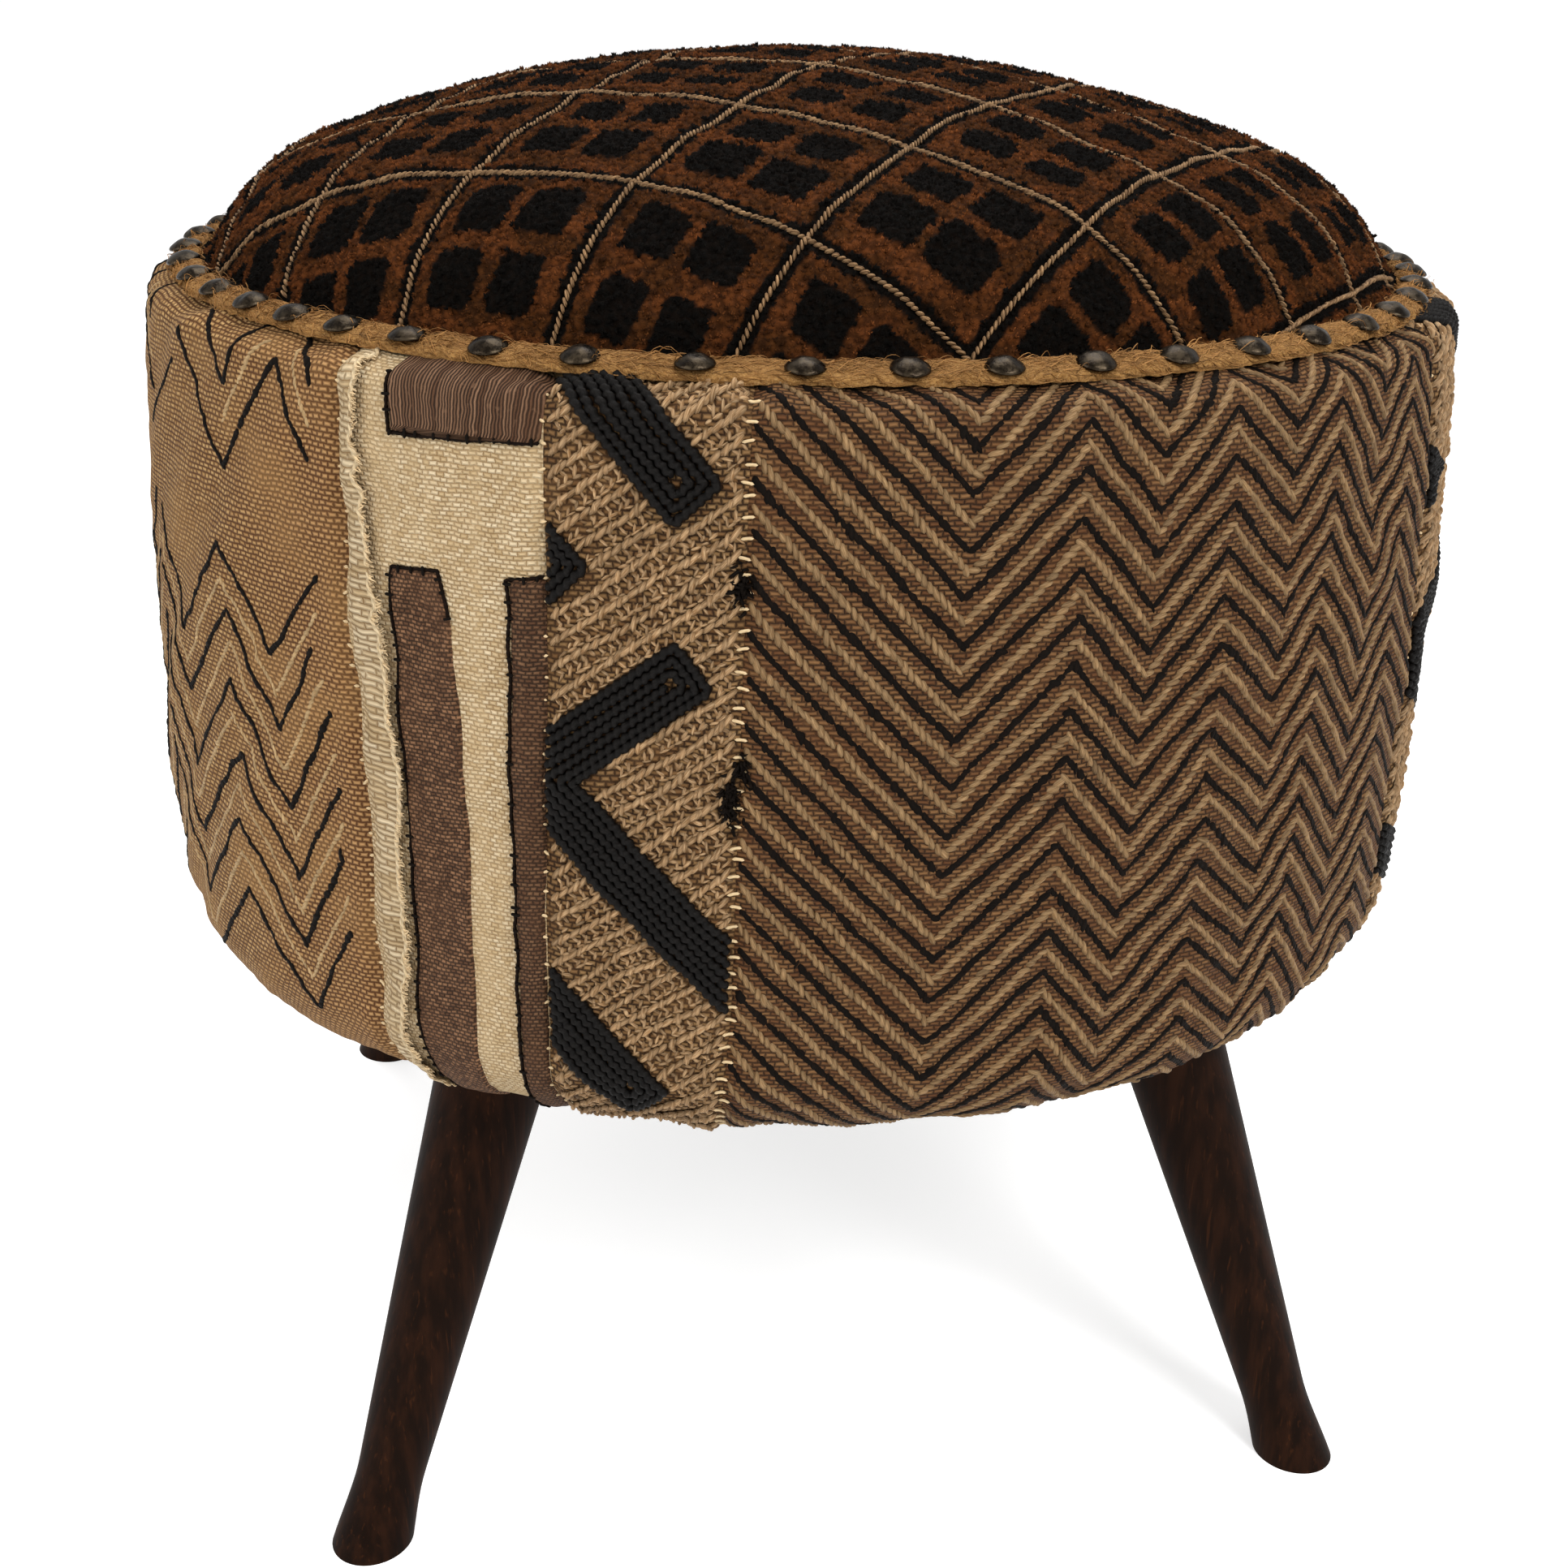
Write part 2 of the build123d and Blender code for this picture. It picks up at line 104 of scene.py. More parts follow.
def apart(azimuth, middle):
    """Degrees from middle to azimuth, the short way round."""
    return (azimuth - middle + 180.0) % 360.0 - 180.0


def together(*values):
    """Numbers or arrays, as arrays of one shape."""
    return np.broadcast_arrays(*(np.asarray(value, float) for value in values))


def left_of(way):
    """Flat directions, each turned a quarter to its left."""
    return np.stack([-way[:, 1], way[:, 0]], 1)


def lengths_along(points):
    """The length along a line of points, at each of them."""
    return np.r_[0, np.cumsum(np.linalg.norm(np.diff(points, axis=0), axis=1))]


def spun(r, turn, z):
    """World points from a radius, an angle in radians and a height."""
    return np.stack([r * np.cos(turn), r * np.sin(turn), z], -1)


def arc(centre, radius, start, end):
    """Points on an arc in the (radius, height) plane, with angles in radians."""
    count = max(int(abs(end - start) * radius / OUTLINE_STEP), 2)
    turn = np.linspace(start, end, count)
    return np.stack([centre[0] + radius * np.cos(turn), centre[1] + radius * np.sin(turn)], 1)


def line(a, b):
    count = max(int(math.dist(a, b) / OUTLINE_STEP), 2)
    return np.linspace(a, b, count)


def circle_through(a, b, c):
    """Centre and radius of the circle through three points."""
    m = 2 * np.array([[b[0] - a[0], b[1] - a[1]], [c[0] - a[0], c[1] - a[1]]])
    v = np.array([np.dot(b, b) - np.dot(a, a), np.dot(c, c) - np.dot(a, a)])
    centre = np.linalg.solve(m, v)
    return centre, math.dist(centre, a)


class Outline:
    """A smooth outline in the (radius, height) plane, read by its length."""

    def __init__(self, runs):
        points = np.concatenate(runs)
        keep = np.r_[True, np.linalg.norm(np.diff(points, axis=0), axis=1) > 1e-4]
        points = points[keep]
        length = lengths_along(points)
        self.length = np.arange(0, length[-1], OUTLINE_STEP)
        self.r = np.interp(self.length, length, points[:, 0])
        self.z = np.interp(self.length, length, points[:, 1])
        way = unit(np.stack([np.gradient(self.r), np.gradient(self.z)], 1))
        self.nr, self.nz = -way[:, 1], way[:, 0]

    def at(self, length, out):
        r = np.interp(length, self.length, self.r) + out * np.interp(length, self.length, self.nr)
        z = np.interp(length, self.length, self.z) + out * np.interp(length, self.length, self.nz)
        return r, z


def side_outline():
    shoulder_z = RIM_Z - (SIDE_TOP_R - RIM_INNER) * math.tan(RIM_SLOPE)
    middle = (SIDE_MIDDLE_R, (shoulder_z + SIDE_LOW_Z) / 2)
    centre, radius = circle_through((SIDE_TOP_R, shoulder_z), middle, (SIDE_LOW_R, SIDE_LOW_Z))
    down = np.array([math.cos(RIM_SLOPE), -math.sin(RIM_SLOPE)])
    out = np.array([math.sin(RIM_SLOPE), math.cos(RIM_SLOPE)])
    start = np.array([RIM_INNER, RIM_Z]) - SHOULDER_ROUND * out - centre
    along = np.dot(start, down)
    reach = -along + math.sqrt(along**2 - np.dot(start, start) + (radius - SHOULDER_ROUND) ** 2)
    shoulder = start + centre + reach * down
    shoulder_end = math.atan2(*(shoulder - centre)[::-1])
    low_z = SIDE_LOW_Z + LOW_ROUND
    low_r = centre[0] + math.sqrt((radius - LOW_ROUND) ** 2 - (low_z - centre[1]) ** 2)
    low = np.array([low_r, low_z])
    low_start = math.atan2(*(low - centre)[::-1])
    # Arcs run clockwise, so the outward normal of Outline is turned over below
    return Outline([
        line((HEM_R, SIDE_LOW_Z), (low_r, SIDE_LOW_Z)),
        arc(low, LOW_ROUND, -math.pi / 2, low_start),
        arc(centre, radius, low_start, shoulder_end),
        arc(shoulder, SHOULDER_ROUND, shoulder_end, math.pi / 2 - RIM_SLOPE),
        line(shoulder + SHOULDER_ROUND * out, (RIM_INNER, RIM_Z)),
    ])


SIDE = side_outline()
SIDE.nr, SIDE.nz = -SIDE.nr, -SIDE.nz
upper = SIDE.r > SIDE_TOP_R
SIDE_END = np.interp(UPPER_SIDE_Z, SIDE.z[upper], SIDE.length[upper]) + (LENGTH_ZERO_Z - UPPER_SIDE_Z)
SIDE_TOP = SIDE_END - SIDE.length[-1]


def side_at(azimuth, down, out):
    """World points in mm for places on the drum's side."""
    azimuth, down, out = together(azimuth, down, out)
    r, z = SIDE.at(SIDE_END - down, out)
    grows, full, fades, gone = SAG_LENGTHS
    for middle, spread, drop in SAGS:
        sag = drop * np.exp(-((apart(azimuth, middle) / spread) ** 2))
        z = z - sag * ramp(down, grows, full) * ramp(down, gone, fades)
    return spun(r, np.radians(azimuth), z)


def dome_outline():
    angle = math.asin(CROWN_REACH / CROWN_R)
    centre = np.array([0.0, DOME_TOP_Z - CROWN_R])
    out = np.array([math.sin(angle), math.cos(angle)])
    turn = centre + CROWN_R * out
    end = np.array([DOME_R, DOME_BASE_Z])
    chord = end - turn
    radius = -np.dot(chord, chord) / (2 * np.dot(chord, out))
    edge = turn - radius * out
    finish = math.atan2(*(end - edge)[::-1])
    return Outline([
        arc(centre, CROWN_R, math.pi / 2, math.pi / 2 - angle),
        arc(edge, radius, math.pi / 2 - angle, finish),
        line(end, (DOME_FOOT_R, DOME_BASE_Z - DOME_FOOT_DROP)),
    ])


DOME = dome_outline()
DOME_REACH = DOME.length[np.argmax(DOME.r > DOME_R - EDGE_SLACK)]


def dome_at(x, y, out):
    """World points in mm for places on the seat's cover."""
    x, y, out = together(x, y, out)
    r, z = DOME.at(np.hypot(x, y), out)
    return spun(r, np.arctan2(y, x), z)


def rim_at(azimuth, along, out):
    """World points in mm on the rim's slope, where the band lies."""
    azimuth, along, out = together(azimuth, along, out)
    r = RIM_INNER + along * math.cos(RIM_SLOPE) + out * math.sin(RIM_SLOPE)
    z = RIM_Z - along * math.sin(RIM_SLOPE) + out * math.cos(RIM_SLOPE)
    return spun(r, np.radians(azimuth), z)


def waves(count, shortest, longest, seed):
    """A smooth random field of two coordinates in mm, about -1 to 1."""
    local = np.random.default_rng(seed)
    length = np.exp(local.uniform(math.log(shortest), math.log(longest), count))
    heading = local.uniform(0, 2 * math.pi, count)
    phase = local.uniform(0, 2 * math.pi, count)
    weight = math.sqrt(2 / count)

    def field(x, y):
        total = 0
        for k, a, p in zip(2 * math.pi / length, heading, phase):
            total = total + np.cos(k * (x * math.cos(a) + y * math.sin(a)) + p)
        return total * weight

    return field


# Meshes


def make_piece(name, points, faces, tint, material, replaces=(), uvs=()):
    """A smooth mesh of points in mm, as a piece that rides the part's one body."""
    mesh = bpy.data.meshes.new(name)
    mesh.vertices.add(len(points))
    mesh.vertices.foreach_set("co", (points * MM).astype(np.float32).ravel())
    mesh.loops.add(faces.size)
    mesh.loops.foreach_set("vertex_index", faces.astype(np.int32).ravel())
    mesh.polygons.add(len(faces))
    starts = np.arange(0, faces.size, faces.shape[1], dtype=np.int32)
    mesh.polygons.foreach_set("loop_start", starts)
    mesh.update(calc_edges=True)
    mesh.validate()
    mesh.polygons.foreach_set("use_smooth", np.ones(len(mesh.polygons), bool))
    for layer, uv in uvs:
        add_uv(mesh, layer, uv)
    layer = mesh.attributes.new("tint", "FLOAT_COLOR", "POINT")
    rgba = np.concatenate([tint, np.ones((len(points), 1))], 1)
    layer.data.foreach_set("color", rgba.astype(np.float32).ravel())
    mesh.materials.append(material)
    piece = bpy.data.objects.new(name, mesh)
    bpy.context.scene.collection.objects.link(piece)
    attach(piece, "root")
    if replaces:
        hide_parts(*replaces)
    return piece


class Build:
    """Collects quads, their thread coordinates in mm and their tints."""

    def __init__(self):
        self.points, self.quads, self.thread, self.tint = [], [], [], []
        self.count = 0

    def add(self, points, quads, thread=None, tint=(1, 1, 1)):
        points = np.asarray(points, float).reshape(-1, 3)
        if thread is None:
            thread = np.zeros((len(points), 2))
        self.points.append(points)
        self.quads.append(np.asarray(quads, int) + self.count)
        self.thread.append(np.asarray(thread, float).reshape(-1, 2))
        self.tint.append(np.broadcast_to(np.reshape(tint, (-1, 3)), points.shape))
        self.count += len(points)

    def finish(self, name, material, slot, replaces=(), bake_uv=None):
        uvs = [("thread", np.concatenate(self.thread))]
        if bake_uv is not None:
            uvs.insert(0, ("OFBake", bake_uv.reshape(-1, 2)))
        return make_piece(name, np.concatenate(self.points), np.concatenate(self.quads),
                          np.concatenate(self.tint), material, replaces, uvs)


def add_uv(mesh, name, per_point):
    layer = mesh.uv_layers.new(name=name)
    corner = np.zeros(len(mesh.loops), np.int32)
    mesh.loops.foreach_get("vertex_index", corner)
    layer.data.foreach_set("uv", per_point[corner].astype(np.float32).ravel())


def grid_quads(rows, columns, copies=1):
    """Quads of copies of a grid whose points are stored row by row."""
    row, column = np.meshgrid(np.arange(rows - 1), np.arange(columns - 1), indexing="ij")
    first = (row * columns + column).ravel()
    one = np.stack([first, first + 1, first + columns + 1, first + columns], 1)
    shift = np.arange(copies)[:, None, None] * rows * columns
    return (one[None] + shift).reshape(-1, 4)


def grid_piece(name, points, material, slot, replaces, bake_uv=None, tint=(1, 1, 1), turned=True):
    """A piece from one grid of world points. turned turns its faces over."""
    quads = grid_quads(*points.shape[:2])
    build = Build()
    build.add(points, quads[:, ::-1] if turned else quads, tint=tint)
    return build.finish(name, material, slot, replaces, bake_uv)


def resample(path, step, jitter=0.0):
    """Points a step apart on a path, and the path's direction at each."""
    path = np.asarray(path, float)
    length = lengths_along(path)
    count = max(int(length[-1] / step), 1)
    at = (np.arange(count) + 0.5) * length[-1] / count
    if jitter:
        at = at + rng.uniform(-jitter, jitter, count) * step

    def on_path(places):
        return np.stack([np.interp(places, length, column) for column in path.T], 1)

    return on_path(at), unit(on_path(at + step / 4) - on_path(at - step / 4))


def runs_where(points, keep, least):
    """The unbroken runs of points where keep holds, of more points than least."""
    cuts = np.flatnonzero(np.diff(keep.astype(int))) + 1
    starts = keep[np.r_[0, cuts]]
    return [run for run, kept in zip(np.split(points, cuts), starts) if kept and len(run) > least]


# A stitch's leaf: how narrow its ends get, how far they fall, how deep it sits
# in the cloth, and the painted shade at its edges, darker than at its crest.
# Threads start at random places along the thread coordinate
STITCH_TIP = 0.03
STITCH_FALL = 0.75
STITCH_SINK = 0.12
STITCH_SHADE = 0.52
THREAD_RUN = 90


def stitches(build, place, paths, pitch, length, width, height, slant=0.3, tilt=0.4, jitter=0.12,
             lift=0.0, tones=0.12, tint=(1, 1, 1), along=6, across=5, blunt=2.4):
    """Overlapping stitches along flat paths, each a small rounded leaf of thread."""
    found = [resample(path, pitch, jitter) for path in paths if len(path) > 1]
    centre, way = (np.concatenate(part) for part in zip(*found))
    count = len(centre)
    turn = slant + jitter * rng.normal(size=count)
    c, s = np.cos(turn), np.sin(turn)
    way = np.stack([way[:, 0] * c - way[:, 1] * s, way[:, 0] * s + way[:, 1] * c], 1)
    side = left_of(way)
    a, b = np.meshgrid(np.linspace(-1, 1, along), np.linspace(-1, 1, across), indexing="ij")
    a, b = a.ravel(), b.ravel()
    half = np.maximum(1 - np.abs(a) ** blunt, STITCH_TIP) ** 0.5
    size = 1 + jitter * rng.normal(size=(count, 1))
    span = a * length / 2 * size
    reach = b * half * width / 2 * (1 + jitter * rng.normal(size=(count, 1)))
    x = centre[:, :1] + way[:, :1] * span + side[:, :1] * reach
    y = centre[:, 1:2] + way[:, 1:2] * span + side[:, 1:2] * reach
    rise = np.sqrt(np.maximum(1 - b**2, 0)) * (1 - STITCH_FALL * np.abs(a) ** 3)
    points = place(x, y, lift + height * (rise + tilt * a * 0.5) * size - STITCH_SINK)
    thread = np.stack(np.broadcast_arrays(span + rng.uniform(0, THREAD_RUN, (count, 1)), reach), -1)
    shade = (1 + tones * rng.normal(size=(count, 1, 1))) * np.ones((count, len(a), 1))
    # Painted shade: each stitch darkens from its crest towards its edges
    shade = shade * (STITCH_SHADE + (1 - STITCH_SHADE) * rise[None, :, None] ** 2)
    build.add(points, grid_quads(along, across, count), thread, shade * np.asarray(tint, float))


def stitched(name, place, paths, material, slot, **stitch):
    """A piece of one kind of stitch."""
    build = Build()
    stitches(build, place, paths, **stitch)
    build.finish(name, material, slot)


def rings(points, up, size, turn, flat=1.0):
    """Rings of points round the places of one line, or of many lines at once."""
    way = unit(np.gradient(points, axis=-2))
    side = unit(np.cross(way, up))
    top = np.cross(side, way)
    return (points[..., None, :] + side[..., None, :] * (size * np.cos(turn))[..., None]
            + top[..., None, :] * (size * np.sin(turn) * flat)[..., None])


# A tube's round ends, as a share of its radius, and the painted shade in a rope's grooves
END_ROUND = 1.2
GROOVE_SHADE = 0.6


def tube(build, points, up, radius, sides=8, ridge=0.0, ridge_pitch=2.0, starts=2, flat=1.0, tint=(1, 1, 1)):
    """A tube along world points. ridge and ridge_pitch give it a rope's twist."""
    length = lengths_along(points)
    size = np.full(len(points), float(radius))
    near = np.minimum(length, length[-1] - length)
    size *= np.sqrt(np.clip(1 - (1 - np.clip(near / (END_ROUND * size), 0, 1)) ** 2, 0.001, 1))
    turn = np.linspace(0, 2 * math.pi, sides + 1) - math.pi / 2
    wave = 1 + ridge * np.cos(starts * turn[None] - 2 * math.pi * length[:, None] / ridge_pitch)
    ring = rings(points, up, size[:, None] * wave, turn, flat)
    thread = np.stack(np.broadcast_arrays(length[:, None], turn[None] * radius), -1)
    # Painted shade: a twisted rope is darker in its grooves
    if ridge:
        groove = np.clip((wave - 1 + ridge) / (2 * ridge), 0, 1)
        tint = np.asarray(tint, float) * (GROOVE_SHADE + (1 - GROOVE_SHADE) * groove)[..., None]
    build.add(ring, grid_quads(len(points), sides + 1), thread, tint)


def tubes_on(build, place, paths, radius, step=0.7, out=0.0, wander=0.0, **more):
    """Tubes along flat paths on a surface."""
    for path in paths:
        points, _ = resample(path, step)
        if len(points) < 3:
            continue
        if wander:
            drift = np.cumsum(rng.normal(size=(len(points), 2)), 0)
            drift -= np.linspace(0, 1, len(points))[:, None] * drift[-1:]
            points = points + wander * drift / math.sqrt(len(points))
        x, y = points.T
        centre = place(x, y, out)
        tube(build, centre, unit(place(x, y, out + 1.0) - centre), radius, **more)


# A direction that no fibre follows, and a fibre's thinning to its tip
FIBRE_UP = (0.31, 0.17, 0.93)
FIBRE_THINS = 0.75


def hairs(build, points, radius, sides=3, tint=(1, 1, 1), tones=0.15):
    """Many thin fibres at once. points is (fibres, places along each, 3)."""
    count, steps = points.shape[:2]
    size = radius[:, None] * (1 - FIBRE_THINS * np.linspace(0, 1, steps) ** 2)
    ring = rings(points, FIBRE_UP, size[..., None], np.linspace(0, 2 * math.pi, sides + 1))
    shade = 1 + tones * rng.normal(size=(count, 1, 1, 1))
    tint = np.clip(shade * np.asarray(tint, float) * np.ones(ring.shape), 0, None)
    build.add(ring, grid_quads(steps, sides + 1, count), None, tint)


# Materials


def colour(red, green, blue):
    """A colour given as it is seen, 0 to 255, for a shader."""
    share = np.array([red, green, blue]) / 255
    linear = np.where(share <= 0.04045, share / 12.92, ((share + 0.055) / 1.055) ** 2.4)
    return (*[float(v) for v in linear], 1.0)


class Shader:
    """The nodes of a material or of the world, made one after another."""

    def __init__(self, owner):
        self.owner = owner
        owner.use_nodes = True
        self.tree = owner.node_tree
        self.tree.nodes.clear()

    def node(self, kind, settings=None, **inputs):
        """A node, its inputs given by name, or by number as i_0 and so on."""
        made = self.tree.nodes.new(kind)
        for key, value in (settings or {}).items():
            setattr(made, key, value)
        for key, value in inputs.items():
            socket = made.inputs[int(key[2:]) if key.startswith("i_") else key.replace("_", " ")]
            if isinstance(value, bpy.types.NodeSocket):
                self.tree.links.new(value, socket)
            else:
                socket.default_value = value
        return made

    def math(self, operation, a, b):
        return self.node("ShaderNodeMath", {"operation": operation}, i_0=a, i_1=b).outputs[0]

    def plus(self, a, b):
        return self.math("ADD", a, b)

    def times(self, a, b):
        return self.math("MULTIPLY", a, b)

    def vector(self, operation, a, b):
        return self.node("ShaderNodeVectorMath", {"operation": operation}, i_0=a, i_1=b).outputs[0]

    def mix(self, factor, a, b, blend="MIX"):
        kind = {"data_type": "RGBA", "blend_type": blend}
        return self.node("ShaderNodeMix", kind, i_0=factor, i_6=a, i_7=b).outputs[2]

    def steps(self, value, low, high):
        kind = {"interpolation_type": "SMOOTHSTEP"}
        return self.node("ShaderNodeMapRange", kind, i_0=value, i_1=low, i_2=high).outputs[0]

    def spots(self, value, low, high, share, base, other):
        """base, with a share of other where value rises from low to high."""
        return self.mix(self.times(self.steps(value, low, high), share), base, other)

    def place(self):
        return self.node("ShaderNodeTexCoord").outputs["Object"]

    def uv(self, layer):
        return self.node("ShaderNodeUVMap", {"uv_map": layer}).outputs[0]

    def tint(self):
        return self.node("ShaderNodeAttribute", {"attribute_name": "tint"}).outputs["Color"]

    def mapped(self, vector, scale, turn=(0, 0, 0)):
        return self.node("ShaderNodeMapping", Vector=vector, Scale=scale, Rotation=turn).outputs[0]

    def noise(self, vector, scale, detail=3.0, rough=0.55):
        made = self.node("ShaderNodeTexNoise", Vector=vector, Scale=scale, Detail=detail, Roughness=rough)
        return made.outputs["Fac"]

    def cells(self, vector, scale):
        return self.node("ShaderNodeTexVoronoi", Vector=vector, Scale=scale).outputs["Distance"]

    def bump(self, height, strength, distance):
        return self.node("ShaderNodeBump", Height=height, Strength=strength, Distance=distance).outputs[0]

    def surface(self, base, roughness, normal, **sockets):
        made = self.node("ShaderNodeBsdfPrincipled", Base_Color=base, Roughness=roughness, Normal=normal,
                         **sockets)
        return self.finish("ShaderNodeOutputMaterial", made)

    def finish(self, kind, shown):
        """The last node, linked to what it shows, and the material or world that is done."""
        self.node(kind, i_0=shown.outputs[0])
        return self.owner


def shader(name):
    return Shader(bpy.data.materials.new(name))


# Woven cloth: how it wobbles, in mm, and its gaps as shares of a cell, sharp
# for its colours, and soft for its relief and for the painted shade towards
# each cell's edges
WEAVE_WOBBLE = (2.2, 1.6, 0.0)
WEAVE_GAPS = ((0.11, 0.9), (0.42, 1.0))


def woven(name, panel, cell, light, dark, gap, depth, bands=0.0, right_tone=None, painted_edge_shade=0.55):
    """Basket-woven raffia on a panel of a given size, with cells of a given size, in mm."""
    sh = shader(name)
    uv = sh.uv("OFBake")
    flat = sh.mapped(uv, (*panel, 1.0))
    wobble = sh.node("ShaderNodeTexNoise", Vector=flat, Scale=0.16, Detail=2.0).outputs["Color"]
    shift = sh.vector("MULTIPLY", sh.vector("SUBTRACT", wobble, (0.5, 0.5, 0.5)), WEAVE_WOBBLE)
    flat = sh.vector("ADD", flat, shift)
    brick, wide = (
        sh.node("ShaderNodeTexBrick", {"offset": 0.5, "squash": 1.0}, Vector=flat, Scale=1.0,
                Color1=light, Color2=dark, Mortar=gap, Mortar_Size=min(cell) * size,
                Mortar_Smooth=smooth, Bias=0.0, Brick_Width=cell[0], Row_Height=cell[1])
        for size, smooth in WEAVE_GAPS)
    fibre = sh.noise(sh.mapped(flat, (0.9, 9.0, 1.0)), 1.0, 3.0)
    patch = sh.noise(flat, 0.035, 4.0)
    flecks = sh.noise(flat, 0.45, 2.0)
    base = brick.outputs["Color"]
    # Over the panel's right part, from a given share of its width, the colour turns gradually to a given
    # tone, with a ragged border and fewer light flecks
    if right_tone:
        across = sh.node("ShaderNodeSeparateXYZ", Vector=uv).outputs[0]
        share = sh.plus(across, sh.times(sh.math("SUBTRACT", patch, 0.5), 0.25))
        base = sh.spots(share, right_tone[0], 1.0, 0.7, base, right_tone[1])
    # Painted shade: each cell darkens softly towards its edges, where its relief dips into the gaps
    base = sh.mix(sh.times(wide.outputs["Fac"], painted_edge_shade), base, gap)
    base = sh.mix(sh.times(fibre, 0.22), base, gap)
    base = sh.spots(patch, 0.42, 0.72, 0.35, base, dark)
    base = sh.spots(flecks, 0.60, 0.75, 0.15 if right_tone else 0.4, base, light)
    if bands:
        stripe = sh.noise(sh.mapped(flat, (1.0, 0.01, 1.0)), 0.28, 2.0)
        base = sh.spots(stripe, 0.40, 0.62, bands, base, dark)
    height = sh.plus(sh.math("SUBTRACT", 1.0, wide.outputs["Fac"]), sh.times(fibre, 0.25))
    return sh.surface(base, 0.75, sh.bump(height, 0.85, depth), Specular_IOR_Level=0.12)


def thread(name, base, deep, rough=0.6, fibre=6.0, depth=0.00012, gloss=0.15):
    """Thread, cord or fibre, with fine strands along it and a tint on each stitch."""
    sh = shader(name)
    uv = sh.uv("thread")
    strands = sh.noise(sh.mapped(uv, (0.35, fibre, 1.0)), 1.0, 3.0)
    cross = sh.noise(sh.mapped(uv, (2.6, 0.4, 1.0)), 1.0, 2.0)
    tone = sh.mix(1.0, sh.mix(sh.steps(strands, 0.35, 0.7), deep, base), sh.tint(), "MULTIPLY")
    normal = sh.bump(sh.plus(strands, sh.times(cross, 0.5)), 0.7, depth)
    return sh.surface(tone, rough, normal, Specular_IOR_Level=gloss)


PILE_SHADOW = (0.004, 0.002, 0.001, 1)


def pile_ground(name):
    """Cut pile, coloured by its tints, with fine tufts and painted shadow between the tuft ends."""
    sh = shader(name)
    place = sh.place()
    ends = sh.cells(place, 480.0)
    fine = sh.noise(place, 2600.0, 2.0)
    # Painted shadow: the pile darkens between the tuft ends
    tone = sh.spots(ends, 0.25, 0.8, 0.6, sh.tint(), PILE_SHADOW)
    normal = sh.bump(sh.math("SUBTRACT", sh.times(fine, 0.4), ends), 0.9, 0.001)
    return sh.surface(tone, 0.75, normal, Specular_IOR_Level=0.03)


def pile_tuft(name):
    """The short fibres that stand on the pile."""
    sh = shader(name)
    fine = sh.noise(sh.place(), 1800.0, 2.0)
    tone = sh.mix(sh.times(fine, 0.4), sh.tint(), PILE_SHADOW)
    return sh.surface(tone, 0.7, sh.bump(fine, 0.4, 0.0002), Specular_IOR_Level=0.04)


def jute_weave(name, flat_size):
    """The band's fibres, on a strip of a given length and width in mm."""
    sh = shader(name)
    flat = sh.mapped(sh.uv("OFBake"), (*flat_size, 1.0))
    fibres = sh.noise(sh.mapped(flat, (0.5, 2.4, 1.0)), 1.4, 4.0, 0.65)
    cross = sh.noise(sh.mapped(flat, (1.3, 1.0, 1.0), (0, 0, 0.6)), 2.2, 3.0)
    tone = sh.mix(sh.steps(fibres, 0.32, 0.68), JUTE_DEEP, JUTE)
    tone = sh.spots(cross, 0.5, 0.8, 0.4, tone, JUTE_PALE)
    return sh.surface(tone, 0.8, sh.bump(sh.plus(fibres, cross), 0.9, 0.0006), Specular_IOR_Level=0.12)


def turned_wood(name, base, deep, fleck, rough, gleam=0.25):
    """Wood whose grain runs up the piece."""
    sh = shader(name)
    place = sh.place()
    grain = sh.noise(sh.mapped(place, (1, 1, 0.12)), 260.0, 4.0)
    pores = sh.noise(sh.mapped(place, (1, 1, 0.06)), 900.0, 2.0)
    patch = sh.noise(place, 22.0, 3.0)
    tone = sh.mix(sh.steps(grain, 0.35, 0.7), deep, base)
    tone = sh.spots(pores, 0.60, 0.72, 0.45, tone, fleck)
    tone = sh.spots(patch, 0.45, 0.75, 0.35, tone, deep)
    gloss = sh.plus(rough, sh.times(patch, 0.12))
    return sh.surface(tone, gloss, sh.bump(sh.plus(grain, pores), 0.25, 0.0002), Specular_IOR_Level=gleam)


def metal(name, base, deep, rough=0.35, scale=320.0, metallic=1.0):
    """Metal with mottled wear."""
    sh = shader(name)
    place = sh.place()
    mottle = sh.noise(place, scale, 5.0, 0.7)
    pits = sh.noise(place, scale * 4, 3.0)
    tone = sh.mix(sh.steps(mottle, 0.38, 0.66), deep, base)
    gloss = sh.plus(rough, sh.times(sh.steps(mottle, 0.4, 0.7), 0.2))
    return sh.surface(tone, gloss, sh.bump(sh.plus(mottle, pits), 0.3, 0.0002), Metallic=metallic)


def layered_board(name, light, dark):
    """Plywood, with its layers of 1.5 mm seen at the edge."""
    sh = shader(name)
    place = sh.place()
    grain = sh.noise(sh.mapped(place, (0.15, 1.0, 1.0)), 240.0, 4.0)
    layers = sh.node("ShaderNodeTexWave", {"bands_direction": "Z"}, Vector=place, Scale=100.0 / 1.5,
                     Distortion=0.4).outputs["Fac"]
    tone = sh.mix(sh.times(layers, 0.35), light, dark)
    tone = sh.mix(sh.times(grain, 0.5), tone, dark)
    return sh.surface(tone, 0.7, sh.bump(grain, 0.3, 0.0002))


